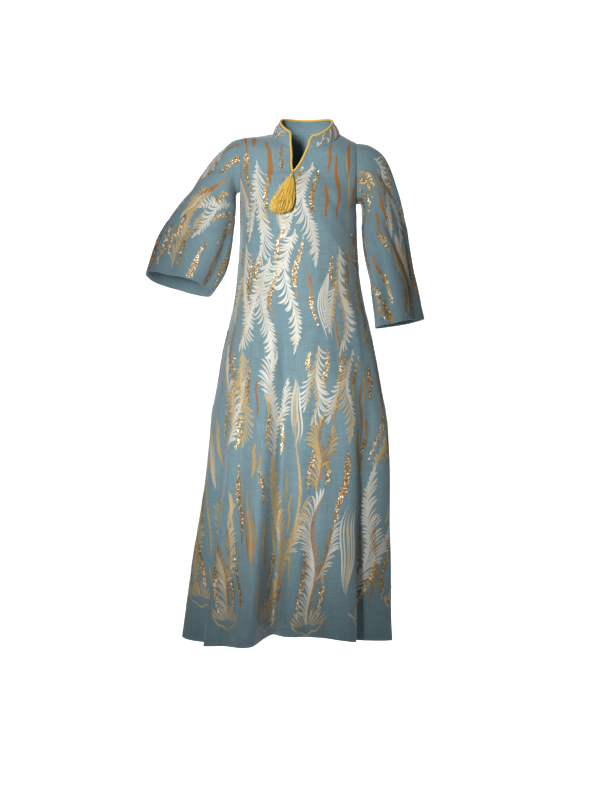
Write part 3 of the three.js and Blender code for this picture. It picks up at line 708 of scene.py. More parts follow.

# Fronds: foot on the flat cloth, heading from upright, length, bend, reach of the leaflets,
# tones of the leaflets on either side
FROND_COLUMNS = "p v heading length bend reach tone shade"
FRONDS = tables(FROND_COLUMNS, front="""
-0.092  0.105 181 0.24  12 0.036 ivory     ivory
-0.070 -0.120 179 0.24 -12 0.039 ivory     ivory
 0.048  0.140 178 0.25 -12 0.034 ivory     ivory
 0.000 -0.030 180 0.28 -10 0.039 ivory     ivory
 0.112 -0.090 179 0.24  12 0.035 ivory     champagne
 0.140 -0.345 181 0.20 -10 0.034 ivory     champagne
-0.150 -0.110 182 0.24  12 0.034 ivory     champagne
-0.165 -0.360 181 0.20  10 0.034 champagne gold
 0.045 -0.320 181 0.17  12 0.034 ivory     champagne
-0.272 -0.985  -3 0.26  14 0.036 champagne bronze
-0.112 -0.985   2 0.40 -12 0.040 champagne gold
-0.080 -0.600   1 0.24  12 0.035 ivory     ivory
-0.225 -0.600  -2 0.22 -12 0.033 champagne ivory
 0.050 -0.670   0 0.17  10 0.034 gold      bronze
 0.045 -0.985   1 0.30  12 0.040 ivory     bronze
 0.195 -0.985   3 0.34 -12 0.040 ivory     ivory
 0.222 -0.640   4 0.26 -12 0.036 champagne gold
 0.345 -0.960   4 0.26 -12 0.034 champagne bronze
-0.400 -0.950  -4 0.26  12 0.033 champagne gold
""", back="""
-0.070  0.120 180 0.25 -12 0.036 ivory     ivory
-0.095 -0.120 181 0.24  12 0.036 ivory     champagne
 0.080  0.110 181 0.24  12 0.035 ivory     champagne
 0.012 -0.060 179 0.28  10 0.039 ivory     ivory
 0.110 -0.140 178 0.24  12 0.034 ivory     champagne
 0.150 -0.360 182 0.20 -12 0.034 champagne gold
-0.150 -0.340 180 0.22 -12 0.034 ivory     champagne
-0.010 -0.380 180 0.20  12 0.034 ivory     ivory
-0.300 -0.975  -3 0.34  12 0.039 champagne gold
-0.140 -0.985   2 0.40 -12 0.040 ivory     ivory
 0.040 -0.985  -2 0.26  12 0.035 champagne bronze
 0.060 -0.640   0 0.22 -12 0.034 ivory     champagne
 0.190 -0.985   3 0.40 -12 0.040 champagne gold
 0.340 -0.975   4 0.30  12 0.035 champagne bronze
""", right="""
 0.120 -0.330 -10 0.20  18 0.029 champagne gold
 0.160 -0.060 186 0.15 -15 0.028 ivory     ivory
 0.030 -0.050 184 0.22  15 0.028 ivory     champagne
-0.100 -0.340   8 0.24 -18 0.030 ivory     gold
""", left="""
-0.060 -0.045 180 0.22  12 0.030 ivory     ivory
 0.075 -0.050 182 0.26 -14 0.030 ivory     champagne
-0.125 -0.430   2 0.18 -14 0.028 champagne gold
 0.105 -0.440  -3 0.22  14 0.029 ivory     gold
""", collar="""
0.020 0.002  30 0.042  6 0.018 ivory ivory
0.052 0.003  22 0.040  6 0.018 ivory champagne
0.105 0.003 -14 0.042 -6 0.018 ivory ivory
0.175 0.003  10 0.042  6 0.018 ivory champagne
0.245 0.003 -12 0.042 -6 0.018 ivory ivory
0.315 0.003 -26 0.040 -6 0.018 ivory champagne
0.352 0.002 -38 0.042 -6 0.018 ivory ivory
0.382 0.003 -48 0.042 -6 0.018 ivory ivory
0.410 0.003 -52 0.042 -6 0.018 ivory champagne
""")

# Tresses of long strands: foot, heading, length, bend, width, tones of the middle and the sides
TRESSES = tables(FROND_COLUMNS, front="""
-0.034  0.070 182 0.15  13 0.024 ivory     champagne
 0.078 -0.150 179 0.17 -13 0.026 ivory     ivory
-0.012 -0.395 181 0.17  15 0.028 champagne ivory
-0.176 -0.860   2 0.19  13 0.028 gold      bronze
 0.136 -0.925   1 0.22  15 0.030 champagne ivory
 0.278 -0.780   4 0.19 -13 0.028 ivory     champagne
-0.300 -0.700  -4 0.20  13 0.028 ivory     champagne
-0.150  0.060 181 0.14  11 0.022 ivory     champagne
""", back="""
-0.010  0.090 180 0.15  13 0.024 ivory     champagne
 0.060 -0.180 181 0.17 -13 0.026 ivory     ivory
-0.060 -0.420 179 0.18  15 0.028 champagne ivory
 0.110 -0.640   1 0.18  13 0.028 ivory     champagne
-0.050 -0.940  -1 0.22  15 0.030 ivory     champagne
 0.115 -0.940   2 0.22 -15 0.030 champagne ivory
-0.215 -0.860  -3 0.20  13 0.028 champagne gold
 0.265 -0.800   4 0.20 -13 0.028 ivory     champagne
""", right="""
 0.075 -0.240  10 0.13  18 0.020 ivory gold
-0.050 -0.100 186 0.14 -18 0.022 ivory champagne
""", left="""
-0.085 -0.230 180 0.15  15 0.022 ivory champagne
 0.040 -0.300 181 0.14 -15 0.022 ivory gold
""", collar="""
0.085 0.003  8 0.040  4 0.012 champagne ivory
0.285 0.003 -8 0.040 -4 0.012 champagne ivory
""")

# Satin streaks and long thin lines: middle, slant, length, half width, tone
LINES = tables("p v slant length half tone", front="""
-0.148 0.115  3 0.13 0.0056 copper
-0.124 0.150 -2 0.08 0.0048 copper
-0.060 0.130 -3 0.13 0.0074 copper
-0.098 0.165  5 0.07 0.0070 copper
-0.118 0.100 -2 0.09 0.0060 copper
 0.090 0.150  4 0.10 0.0052 copper
 0.112 0.060 -2 0.17 0.0058 copper
 0.140 0.130  2 0.12 0.0054 copper
-0.026 0.040  2 0.10 0.0050 copper
 0.150 -0.03 -3 0.34 0.0030 gold
-0.140 -0.02  2 0.16 0.0046 copper
 0.095 -0.38  1 0.40 0.0030 copper
-0.205 -0.40  4 0.30 0.0034 copper
 0.000 -0.68  0 0.42 0.0036 gold
 0.290 -0.62 -7 0.36 0.0038 copper
-0.330 -0.70  8 0.30 0.0032 gold
 0.375 -0.62 -8 0.30 0.0036 gold
 0.158 -0.62 -3 0.20 0.0072 gold
 0.262 -0.86 -6 0.24 0.0070 bronze
 0.170 -0.50 -4 0.16 0.0060 bronze
""", back="""
-0.140 0.120  3 0.12 0.0056 copper
 0.130 0.130 -2 0.13 0.0052 copper
 0.030 0.110 -3 0.12 0.0054 copper
-0.020 0.060  4 0.10 0.0050 copper
-0.142 -0.04  3 0.30 0.0032 gold
 0.145 -0.03 -1 0.22 0.0040 copper
-0.085 -0.56  0 0.36 0.0032 copper
 0.120 -0.66 -3 0.40 0.0034 gold
-0.230 -0.56  6 0.38 0.0032 bronze
 0.300 -0.62 -8 0.34 0.0034 gold
""", right="""
 0.090 -0.13 10 0.18 0.0050 copper
-0.020 -0.16 -6 0.20 0.0046 gold
-0.075 -0.10 -8 0.14 0.0052 copper
 0.045 -0.03  8 0.06 0.0046 copper
""", left="""
-0.020 -0.16  2 0.24 0.0048 gold
 0.030 -0.20 -2 0.24 0.0044 copper
-0.105 -0.12  2 0.18 0.0052 copper
-0.085 -0.33 -2 0.16 0.0050 copper
""", collar="""
0.036 0.020  34 0.036 0.0050 copper
0.070 0.022  16 0.038 0.0052 copper
0.138 0.022   0 0.036 0.0050 copper
0.208 0.022   4 0.036 0.0050 copper
0.265 0.022  -8 0.036 0.0050 copper
0.335 0.020 -24 0.036 0.0050 copper
0.374 0.016 -46 0.034 0.0054 copper
0.404 0.013 -52 0.030 0.0054 copper
""")

# Streaks are thrown at random and kept where there is room
STREAKS = {
    "front": dict(low=-0.94, high=0.19, side=0.46, tries=2600),
    "back": dict(low=-0.94, high=0.19, side=0.46, tries=2600),
    "right": dict(low=-0.36, high=-0.01, side=0.26, tries=700),
    "left": dict(low=-0.40, high=-0.01, side=0.23, tries=700),
    "collar": dict(low=0, high=0.04, side=0.4, tries=0),
}

# Looks of streaks by height: tones of the upper and lower end, share in sequins, how often
COPPER_LOOKS = table("top bottom glitter weight", """
copper copper  0.0 5
copper gold    0.0 3
copper gold   0.45 2
""")
CHEST_LOOKS = table("top bottom glitter weight", """
gold   champagne  1.0 4
copper champagne 0.55 3
gold   gold       0.0 1
bronze gold       1.0 2
""")
SKIRT_LOOKS = table("top bottom glitter weight", """
bronze gold   0.6 3
gold   gold   0.0 3
copper bronze 0.0 2
gold   bronze 1.0 3
""")
COPPER_LEVEL = 0.0  # streaks above this are mostly copper
CHEST_LEVEL = -0.42
STREAK_GAP = 0.0100
STREAK_LENGTH = (0.07, 0.19)
STREAK_HALF = (0.0042, 0.0082)
STREAK_STEP = 0.004
STREAK_SWAY = 0.022  # in lengths of the streak
STREAK_LEAN = 9  # degrees for each metre away from the middle
STREAK_SLANTS = 5  # random degrees
STREAK_CLEAR = 0.014
SEED = 11


class Threads:
    """Collects pieces of one mesh. Faces that would leave the cloth are dropped."""

    def __init__(self):
        self.count = 0
        self.points, self.faces, self.uv, self.tone = [], [], [], []

    def add(self, points, faces, uv, tone):
        points = points.reshape(-1, 3)
        off_cloth = np.isnan(points[:, 0])
        self.points.append(np.nan_to_num(points))
        self.faces.append(faces[~off_cloth[faces].any(1)] + self.count)
        self.uv.append(np.broadcast_to(uv, (len(points), 2)))
        self.tone.append(np.broadcast_to(tone, len(points)))
        self.count += len(points)

    def tube(self, path, radius, sides=6, tone=0.5):
        """A round thread with closed ends. It has an even count of sides."""
        first, second = frames_along(path)
        turn = np.arange(sides) * 360 / sides
        radius = np.broadcast_to(radius, len(path))[:, None, None]
        spokes = first[:, None] * cosd(turn)[:, None] + second[:, None] * sind(turn)[:, None]
        index = np.arange(len(path) * sides).reshape(len(path), sides)
        after = np.roll(index, -1, axis=1)
        sheath = quads(index[:-1], after[:-1], after[1:], index[1:])
        caps = [[ring[0], ring[i], ring[i + 1], ring[i + 2]]
                for ring in (index[0][::-1], index[-1]) for i in range(1, sides - 2, 2)]
        faces = np.concatenate([sheath, caps])
        uv = np.stack(np.broadcast_arrays(lengths_along(path)[:, None], turn[None, :] / 360), -1)
        self.add(path[:, None] + radius * spokes, faces, uv.reshape(-1, 2), tone)

    def object(self, name):
        points, faces = np.concatenate(self.points), np.concatenate(self.faces)
        used = np.unique(faces)
        place = np.zeros(len(points), int)
        place[used] = np.arange(len(used))
        uv = np.concatenate(self.uv)[faces].reshape(-1, 2)
        return new_object(name, points[used], place[faces], uv, np.concatenate(self.tone)[used])


def strip_faces(strips, steps, columns=3):
    """Faces of many strips at once, each of steps rows of points, columns wide."""
    index = np.arange(strips * steps * columns).reshape(strips, steps, columns)
    return quads(index[:, :-1, 1:], index[:, 1:, 1:], index[:, 1:, :-1], index[:, :-1, :-1])


def strips(threads, panel, p, v, half, tone, lift=STITCH_LIFT):
    """Raised satin strips. Each row of p, v and half is the middle line of one strip."""
    dp, dv = np.gradient(p, axis=1), np.gradient(v, axis=1)
    size = np.maximum(np.hypot(dp, dv), 1e-9)
    aside = np.array([-1.0, 0.0, 1.0])
    x = p[..., None] + (dv / size * half)[..., None] * aside
    y = v[..., None] - (dp / size * half)[..., None] * aside
    height = np.broadcast_to(np.where(aside == 0, lift, STITCH_FOOT), x.shape)
    found, _ = panel.place(x, y, height)
    along = np.broadcast_to(np.cumsum(size, 1)[..., None], x.shape)
    uv = np.stack([along, half[..., None] * aside], -1).reshape(-1, 2)
    tones = np.broadcast_to(np.broadcast_to(tone, p.shape)[..., None], x.shape)
    threads.add(found, strip_faces(*p.shape), uv, tones.ravel())


def stem_line(p, v, heading, length, bend, wave, steps=48):
    """A curved line on the flat cloth: its points and its direction at each of them."""
    s = np.linspace(0, 1, steps)
    angle = heading + bend * (2 * s - 1) + wave * np.sin(2 * math.pi * s * 1.2)
    step = length / (steps - 1)
    x = p + step * (np.cumsum(sind(angle)) - sind(angle[0]))
    y = v + step * (np.cumsum(cosd(angle)) - cosd(angle[0]))
    return s, x, y, angle


def leaflets(threads, panel, rng, foot, size, turn, spread, tone):
    """Pointed leaflets that start along turn and hook away from it by up to spread degrees."""
    j = np.linspace(0, 1, LEAFLET_STEPS)
    angle = turn[:, None] + spread[:, None] * j**LEAFLET_HOOK
    step = size[:, None] / (LEAFLET_STEPS - 1)
    leaf_p = foot[0][:, None] + np.cumsum(step * sind(angle), 1)
    leaf_v = foot[1][:, None] + np.cumsum(step * cosd(angle), 1)
    width = LEAFLET_HALF * np.interp(j, LEAFLET_SHAPE["at"], LEAFLET_SHAPE["half"])
    half = width * rng.uniform(0.8, 1.1, (len(size), 1))
    tones = tone[:, None] + rng.normal(0, TONE_SPREAD, (len(size), 1))
    strips(threads, panel, leaf_p, leaf_v, half, np.clip(tones, 0, 1))


def frond(threads, panel, rng, line, length, reach, fuller, tone, shade):
    """Leaflets along both sides of a stem, longer on the side given by fuller."""
    s, x, y, angle = line
    count = max(int(length / LEAFLET_GAP), LEAST_LEAFLETS)
    side = np.tile([-1.0, 1.0], count)
    shift = 0.25 * side + rng.normal(0, 0.1, 2 * count)
    at = np.repeat(np.linspace(*LEAFLET_RANGE, count), 2) + shift / count
    at = np.clip(at, 0, 1)
    longest = 0.5 + 0.5 * np.sin(math.pi * (0.12 + 0.8 * at))
    size = reach * longest * rng.uniform(*LEAFLET_SIZES, at.shape)
    size = size * (1 + LOPSIDED * side * fuller)
    near, far = LEAFLET_SPREAD
    ahead = 1 - 0.75 * smooth(LEAFLETS_AHEAD, 1, at)
    turn = np.interp(at, s, angle) + side * near * ahead
    spread = side * (far - near) * ahead * rng.uniform(0.8, 1.15, at.shape)
    foot = np.interp(at, s, x), np.interp(at, s, y)
    leaflets(threads, panel, rng, foot, size, turn, spread, np.where(side < 0, tone, shade))
    stem_half = STEM_HALF * (1.15 - 0.8 * s)
    strips(threads, panel, x[None], y[None], stem_half[None], min(tone + 0.06, 1), STITCH_LIFT * 1.2)


def tress(threads, panel, rng, row):
    """Long strands that part and meet again, and end in a few tips."""
    p, v, heading, length, bend, width, tone, shade = row
    s, x, y, angle = stem_line(p, v, heading, length, bend, TRESS_WAVE)
    lane = np.linspace(-1, 1, TRESS_STRANDS)[:, None]
    lane = lane + rng.normal(0, 0.1, lane.shape)
    at = s * rng.uniform(*TRESS_LENGTHS, lane.shape)
    out = width / 2 * lane * (0.04 + np.sin(math.pi * 0.84 * at) ** 0.8)
    turn = np.interp(at, s, angle)
    line_p = np.interp(at, s, x) + out * cosd(turn)
    line_v = np.interp(at, s, y) - out * sind(turn)
    half = TRESS_HALF * np.interp(s, [0, 0.3, 0.8, 1], [0.1, 1.2, 1, 0.1]) * np.ones_like(lane)
    strips(threads, panel, line_p, line_v, half, mix(tone, shade, np.clip(np.abs(lane), 0, 1)))
    return x, y


def brushed(threads, panel, rng, x, y, half, tone):
    """A band of short slanting stitches, ragged along its sides."""
    along = flat_lengths(x, y)
    at = np.arange(0, along[-1], BRUSH_PITCH)
    at = at + rng.normal(0, 0.25 * BRUSH_PITCH, at.shape)
    heading = np.degrees(np.arctan2(np.gradient(x), np.gradient(y)))
    slant = np.interp(at, along, heading) + rng.choice([-1, 1]) * BRUSH_SLANT
    size = 2 * np.interp(at, along, half) / sind(BRUSH_SLANT) * rng.uniform(0.6, 1.15, at.shape)
    size = np.maximum(size, BRUSH_LEAST)
    t = np.linspace(-0.5, 0.5, 4)
    line_p = np.interp(at, along, x)[:, None] + (size * sind(slant))[:, None] * t
    line_v = np.interp(at, along, y)[:, None] + (size * cosd(slant))[:, None] * t
    stitch = BRUSH_HALF * np.array([0.3, 1, 1, 0.3]) * np.ones((len(at), 1))
    shades = np.interp(at, along, tone) + rng.normal(0, TONE_SPREAD, at.shape)
    strips(threads, panel, line_p, line_v, stitch, np.clip(shades, 0, 1)[:, None], BAND_LIFT)


def sequins(threads, panel, rng, p, v, half, tone):
    """Sequins in offset rows along a band whose middle line is p, v."""
    along = flat_lengths(p, v)
    rows = np.arange(SEQUIN_PITCH / 2, along[-1], SEQUIN_PITCH * SEQUIN_ROW)
    lanes = np.arange(-SEQUIN_LANES, SEQUIN_LANES + 1)
    offset = (lanes[None, :] + 0.5 * (np.arange(len(rows))[:, None] % 2)) * SEQUIN_PITCH
    keep = np.abs(offset) < np.interp(rows, along, half)[:, None]
    row = np.broadcast_to(rows[:, None], offset.shape)[keep]
    aside = offset[keep] + rng.normal(0, SEQUIN_STRAY, keep.sum())
    dp, dv = np.gradient(p), np.gradient(v)
    size = np.maximum(np.hypot(dp, dv), 1e-9)
    x = np.interp(row, along, p) + np.interp(row, along, dv / size) * aside
    y = np.interp(row, along, v) - np.interp(row, along, dp / size) * aside
    centre, normal = panel.place(x, y, SEQUIN_LIFT)
    normal = unit(normal + rng.normal(0, SEQUIN_TILT, normal.shape))
    first = unit(np.cross(normal, [0.3, 0.2, 1.0]))
    second = np.cross(normal, first)
    k = np.arange(SEQUIN_SIDES)
    turn = k * 360.0 / SEQUIN_SIDES
    rim = centre[:, None] + SEQUIN_RADIUS * (
        first[:, None] * cosd(turn)[:, None] + second[:, None] * sind(turn)[:, None]
    )
    cup = centre - normal * SEQUIN_CUP
    points = np.concatenate([rim, cup[:, None]], 1)
    fan = np.stack([k, (k + 1) % SEQUIN_SIDES, np.full(SEQUIN_SIDES, SEQUIN_SIDES)], 1)
    first_point = (SEQUIN_SIDES + 1) * np.arange(len(points))
    faces = (fan[None] + first_point[:, None, None]).reshape(-1, 3)
    shade = np.interp(row, along, tone) + rng.normal(0, 0.2, len(points))
    # a random few sequins get the pale ivory tone as painted glints, a painted highlight
    shade = np.where(rng.random(len(points)) < PAINTED_GLINT_SHARE, IVORY, np.clip(shade, 0, 1))
    uv = np.concatenate([np.stack([cosd(turn), sind(turn)], 1), [[0, 0]]])
    uv = np.tile(uv * SEQUIN_RADIUS, (len(points), 1))
    threads.add(points, faces, uv, np.repeat(shade, SEQUIN_SIDES + 1))


def streak_line(rng, p, v, slant, length, half):
    """A wavy band that tapers to both ends. It starts at its lower end."""
    steps = max(int(length / STREAK_STEP), 10)
    s = np.linspace(0, 1, steps)
    wave = STREAK_SWAY * length * np.sin(2 * math.pi * (1.3 * s + rng.random()))
    x = p + (s - 0.5) * length * sind(slant) + wave
    y = v + (s - 0.5) * length * cosd(slant)
    body = np.sin(math.pi * s) ** rng.uniform(0.4, 0.8) * (1 + 0.22 * np.sin(17 * s + 6 * rng.random()))
    return x, y, np.maximum(half * body, 0.0003)


def streak(satin, glitter, panel, rng, line, top, bottom, covered):
    """A satin band from one tone to another, with sequins over the lower share of it."""
    x, y, half = line
    s = np.linspace(0, 1, len(x))
    tone = mix(bottom, top, s)
    under = s < covered
    if under.sum() > 3:
        strips(satin, panel, x[None, under], y[None, under], half[None, under], BRONZE, BAND_LIFT)
        sequins(glitter, panel, rng, x[under], y[under], half[under], tone[under])
    bare = ~under
    if bare.sum() > 3:
        brushed(satin, panel, rng, x[bare], y[bare], half[bare], tone[bare])


def shell(satin, panel, rng, p, v, reach, tone):
    """A fan of short leaflets over a scalloped line, at the foot of a frond near the hem."""
    turn = np.linspace(-FAN_SPREAD, FAN_SPREAD, FAN_LEAFLETS)
    foot = p + 0.1 * OUTLINE_WIDTH * sind(turn), np.full(FAN_LEAFLETS, v - 0.004)
    size = reach * rng.uniform(0.85, 1.15, FAN_LEAFLETS)
    leaflets(satin, panel, rng, foot, size, turn, -0.5 * turn, np.full(FAN_LEAFLETS, tone))
    t = np.linspace(0, 1, 60)
    x = p + (t - 0.5) * OUTLINE_WIDTH
    y = v + 0.008 - OUTLINE_DROP * np.sin(math.pi * t) ** 0.7 - SCALLOP * np.abs(np.sin(3 * math.pi * t))
    strips(satin, panel, x[None], y[None], np.full((1, 60), OUTLINE_HALF), tone)


def spray(satin, glitter, panel, rng, row):
    """A frond with its shoots and a band of streaks along either side."""
    p, v, heading, length, bend, reach, tone, shade = row
    line = stem_line(p, v, heading, length, bend, STEM_WAVE)
    s, x, y, angle = line
    fuller = -np.sign(bend)
    frond(satin, panel, rng, line, length, reach, fuller, tone, shade)
    if length < SMALLEST_SPRAY:
        return x, y
    for share, side, size, out in zip(*SHOOTS.values()):
        k = int(share * (len(s) - 1))
        shoot = size * length
        turn = angle[k] + side * out
        shoot_line = stem_line(x[k], y[k], turn, shoot, -side * SHOOT_BEND, SHOOT_WAVE)
        frond(satin, panel, rng, shoot_line, shoot, reach * SHOOT_REACH, side, shade, tone)
    for side, start, end, out, widest in zip(*BANDS.values()):
        part = (s >= start) & (s <= end)
        t = (s[part] - start) / (end - start)
        away = side * (reach * out + BAND_SWAY * np.sin(5 * t))
        half = widest * np.sin(math.pi * np.clip(t, 0.02, 0.98)) ** 0.6
        band = (x[part] + away * cosd(angle[part]), y[part] - away * sind(angle[part]), half)
        top, covered = rng.choice([GOLD, BRONZE]), 1 - 0.4 * rng.random()
        streak(satin, glitter, panel, rng, band, top, CHAMPAGNE, covered)
    if abs(heading) < 90 and v < SHELL_LEVEL:
        shell(satin, panel, rng, p, v, reach, CHAMPAGNE)
    return x, y


def streak_looks(rng, v):
    looks = COPPER_LOOKS if v > COPPER_LEVEL else CHEST_LOOKS if v > CHEST_LEVEL else SKIRT_LOOKS
    weight = looks["weight"] / looks["weight"].sum()
    k = rng.choice(len(weight), p=weight)
    return looks["top"][k], looks["bottom"][k], looks["glitter"][k]


def embroider(name, panel, rng):
    """All embroidery of one panel, as one mesh of stitches and one of sequins."""
    satin, glitter = Threads(), Threads()
    taken = []

    def take(x, y, reach):
        taken.append(np.stack([x[::3], y[::3], np.full(len(x[::3]), reach)]))

    for row in zip(*FRONDS[name].values()):
        x, y = spray(satin, glitter, panel, rng, row)
        take(x, y, 0.6 * row[5] + 0.008)
    for row in zip(*TRESSES[name].values()):
        x, y = tress(satin, panel, rng, row)
        take(x, y, 0.5 * row[5] + 0.006)
    for p, v, slant, length, half, tone in zip(*LINES[name].values()):
        line = streak_line(rng, p, v, slant, length, half)
        streak(satin, glitter, panel, rng, line, tone, tone, 0)
        take(line[0], line[1], 0.6 * STREAK_GAP)
    field = STREAKS[name]
    for _ in range(field["tries"]):
        length, half = rng.uniform(*STREAK_LENGTH), rng.uniform(*STREAK_HALF)
        p, v = rng.uniform(-field["side"], field["side"]), rng.uniform(field["low"], field["high"])
        slant = rng.normal(0, STREAK_SLANTS) - STREAK_LEAN * p
        line = streak_line(rng, p, v, slant, length, half)
        top, bottom, covered = streak_looks(rng, v)
        used = np.concatenate(taken, 1)
        near = np.abs(used[0][:, None] - line[0][::3]) < (used[2] + half)[:, None]
        near &= np.abs(used[1][:, None] - line[1][::3]) < STREAK_CLEAR
        off_cloth = np.isnan(panel.place(line[0], line[1], 0.0)[0][:, 0]).mean()
        if near.any() or off_cloth > 0.5:
            continue
        streak(satin, glitter, panel, rng, line, top, bottom, covered)
        take(line[0], line[1], STREAK_GAP - 0.004)
    found = [(satin.object("stitches_" + name), "satin")]
    if glitter.count:
        found.append((glitter.object("sequins_" + name), "foil"))
    return found


# Piping: a twisted cord round the collar and the notch
CORD_RADIUS = 0.0023
CORD_CLEAR = 0.0008
PLIES = 3
PLY_RADIUS = 0.00165
PLY_OFFSET = 0.00140
PLY_TWIST = 0.0095  # length of one full turn
CORD_STEP = 0.0014


def beside(here, along, normal):
    """A point beside the border of a cloth, where the middle of the cord runs."""
    return here - unit(np.cross(normal, along)) * (CORD_RADIUS + CORD_CLEAR)


def notch_points(side):
    """Places of the cord along one side of the notch, from its foot up."""
    found = []
    for row in (3.35, 4, 5, 6):
        across = yoke_point("front", side, 1.5, row) - yoke_point("front", side, 0, row)
        along = front_border(side, row + 0.05) - front_border(side, row - 0.05)
        normal = unit(np.cross(across, along)) * side
        found.append(beside(front_border(side, row), -side * along, normal))
    return found


def collar_normal(turn, up):
    across = collar_point(turn + 0.5, up) - collar_point(turn - 0.5, up)
    return unit(np.cross(across, collar_point(turn, 1) - collar_point(turn, 0.9)))


def collar_end_points(turn, way):
    """Places of the cord along one end of the collar; way is 1 at its left end."""
    found = []
    for up in (0.33, 0.67):
        along = collar_point(turn, up + 0.05) - collar_point(turn, up - 0.05)
        found.append(beside(collar_point(turn, up), along * way, collar_normal(turn, up)))
    return found


def cord_points():
    """The cord's middle line: up the left of the notch, round the collar, down the right."""
    left_end, right_end = LEFT_SEAM, RIGHT_SEAM - 360
    top = []
    for turn in np.linspace(left_end - 2, right_end + 2, 29):
        along = collar_point(turn - 0.5, 1) - collar_point(turn + 0.5, 1)
        top.append(beside(collar_point(turn, 1), along, collar_normal(turn, 1)))
    foot = front_border(-1, 3.0) + np.array([0, 0, CORD_RADIUS + CORD_CLEAR])
    left = notch_points(-1) + collar_end_points(left_end, 1)
    right = collar_end_points(right_end, -1)[::-1] + notch_points(1)[::-1]
    return np.array([foot] + left + top + right)


def smooth_line(points, step, closed=False):
    """A smooth curve through the points, resampled at even steps, and its length."""
    n = len(points)
    found = []
    for i in range(n if closed else n - 1):
        four = [i - 1, i, i + 1, i + 2]
        four = [k % n if closed else min(max(k, 0), n - 1) for k in four]
        a, b, c, d = points[four]
        t = np.linspace(0, 1, 12, endpoint=False)[:, None]
        bend = (2 * a - 5 * b + 4 * c - d) * t**2 + (3 * b - a - 3 * c + d) * t**3
        found.append(b + (c - a) * t / 2 + bend / 2)
    found = np.concatenate(found + [points[:1] if closed else points[-1:]])
    along = lengths_along(found)
    even = np.linspace(0, along[-1], max(int(along[-1] / step), 8) + 1)
    return np.stack([np.interp(even, along, found[:, k]) for k in range(3)], 1), along[-1]


def frames_along(path):
    """Two directions square to a path, which turn with it as little as they can."""
    way = unit(np.gradient(path, axis=0))
    first = np.empty_like(path)
    first[0] = unit(np.cross(way[0], [0.2, 1.0, 0.1]))
    for i in range(1, len(path)):
        first[i] = unit(first[i - 1] - way[i] * (first[i - 1] @ way[i]))
    return first, np.cross(way, first)


def twisted(tubes, path, length, plies, radius, offset, pitch):
    """Several plies that wind round a path; pitch is the length of one full turn."""
    first, second = frames_along(path)
    angle = np.linspace(0, 360 * max(round(length / pitch), 1), len(path))
    for ply in range(plies):
        a = angle[:, None] + 360 * ply / plies
        tubes.tube(path + (first * cosd(a) + second * sind(a)) * offset, radius)


def piping():
    tubes = Threads()
    path, length = smooth_line(cord_points(), CORD_STEP, closed=True)
    twisted(tubes, path, length, PLIES, PLY_RADIUS, PLY_OFFSET, PLY_TWIST)
    return tubes.object("piping_twisted"), path[0]


# Tassel: middle line from the knot down, half width and half depth
TASSEL = table("at x y z half_width half_depth", """
0.00 -0.0375 -0.1205 -0.112 0.0042 0.0036
0.20 -0.0425 -0.1315 -0.131 0.0125 0.0066
0.45 -0.0510 -0.1425 -0.156 0.0200 0.0090
0.80 -0.0615 -0.1520 -0.189 0.0290 0.0115
1.00 -0.0650 -0.1535 -0.210 0.0240 0.0100
""")
STRANDS = 240
STRAND_RADIUS = 0.00100
GOLDEN_ANGLE = 137.5
TASSEL_FOLD = 0.09  # how far the strands stray sideways, in half widths
KNOT_RADIUS = 0.0040
KNOT_TURNS = 6
KNOT_STEPS = 120
KNOT_REACH = (-0.004, 0.0075)  # up and down from its middle
KNOT_THREAD = 0.00095
KNOT_CORE = table("down radius", "-0.0055 0.0012; -0.0035 0.0034; 0.006 0.0036; 0.009 0.0026")
HANGER = dict(plies=2, radius=0.0006, offset=0.0005, pitch=0.004)


def tassel_point(at, across, deep):
    size = lambda column: read(TASSEL, column, at)
    return point(size("x") + across * size("half_width"), size("y") + deep * size("half_depth"), size("z"))


def tassel_strands(tubes, rng):
    at = np.linspace(0, 1, 11)
    free = smooth(0.1, 0.6, at)
    for i in range(STRANDS):
        reach = math.sqrt((i + 0.5) / STRANDS)
        length = 1.0 - 0.06 * reach**2 - 0.05 * rng.random()
        sway = TASSEL_FOLD * np.sin(at * 5 + 6 * rng.random()) * free
        across = reach * cosd(i * GOLDEN_ANGLE) * (1 - 0.1 * smooth(0.8, 1, at)) + sway
        deep = reach * sind(i * GOLDEN_ANGLE) + sway[::-1] * 0.4 * free
        path = tassel_point(at * length, across, deep)
        tubes.tube(path, STRAND_RADIUS * mix(0.7, 1.0, smooth(0, 0.3, at)), 4, rng.uniform(0.2, 0.8))


def tassel(rng, foot):
    """Threads, their wrapped knot and the thin cord that they hang by."""
    tubes = Threads()
    tassel_strands(tubes, rng)
    knot = tassel_point(0.03, 0, 0)
    down = unit(tassel_point(0.2, 0, 0) - tassel_point(0.0, 0, 0))
    first = unit(np.cross(down, [0, 1, 0]))
    second = np.cross(down, first)
    turn = np.linspace(0, 360 * KNOT_TURNS, KNOT_STEPS)[:, None]
    spiral = 0.86 * KNOT_RADIUS * (first * cosd(turn) + second * sind(turn))
    drop = np.linspace(*KNOT_REACH, KNOT_STEPS)[:, None]
    tubes.tube(knot + down * drop + spiral, KNOT_THREAD, 6, 0.45)
    tubes.tube(knot + down * KNOT_CORE["down"][:, None], KNOT_CORE["radius"], 8, 0.4)
    top = foot + np.array([0, -0.0030, 0.0008])
    bend = mix(top, knot, 0.55) + np.array([0, -0.0006, 0])
    hanger, length = smooth_line(np.array([top, bend, knot - down * KNOT_RADIUS]), 0.0008)
    twisted(tubes, hanger, length, **HANGER)
    return tubes.object("tassel_threads")


# Stitches along the hems
STITCH_LENGTH = 0.0032
STITCH_SPACE = 0.0042
STITCH_HALF_WIDTH = 0.0004


def along_hem(values, hem):
    """The values of a grid on the line where its folded hem is sewn."""
    at = 0.94 * HEM_WIDTH
    return np.array([[np.interp(at, hem[:, c], values[:, c, k]) for k in range(3)]
                     for c in range(hem.shape[1])])


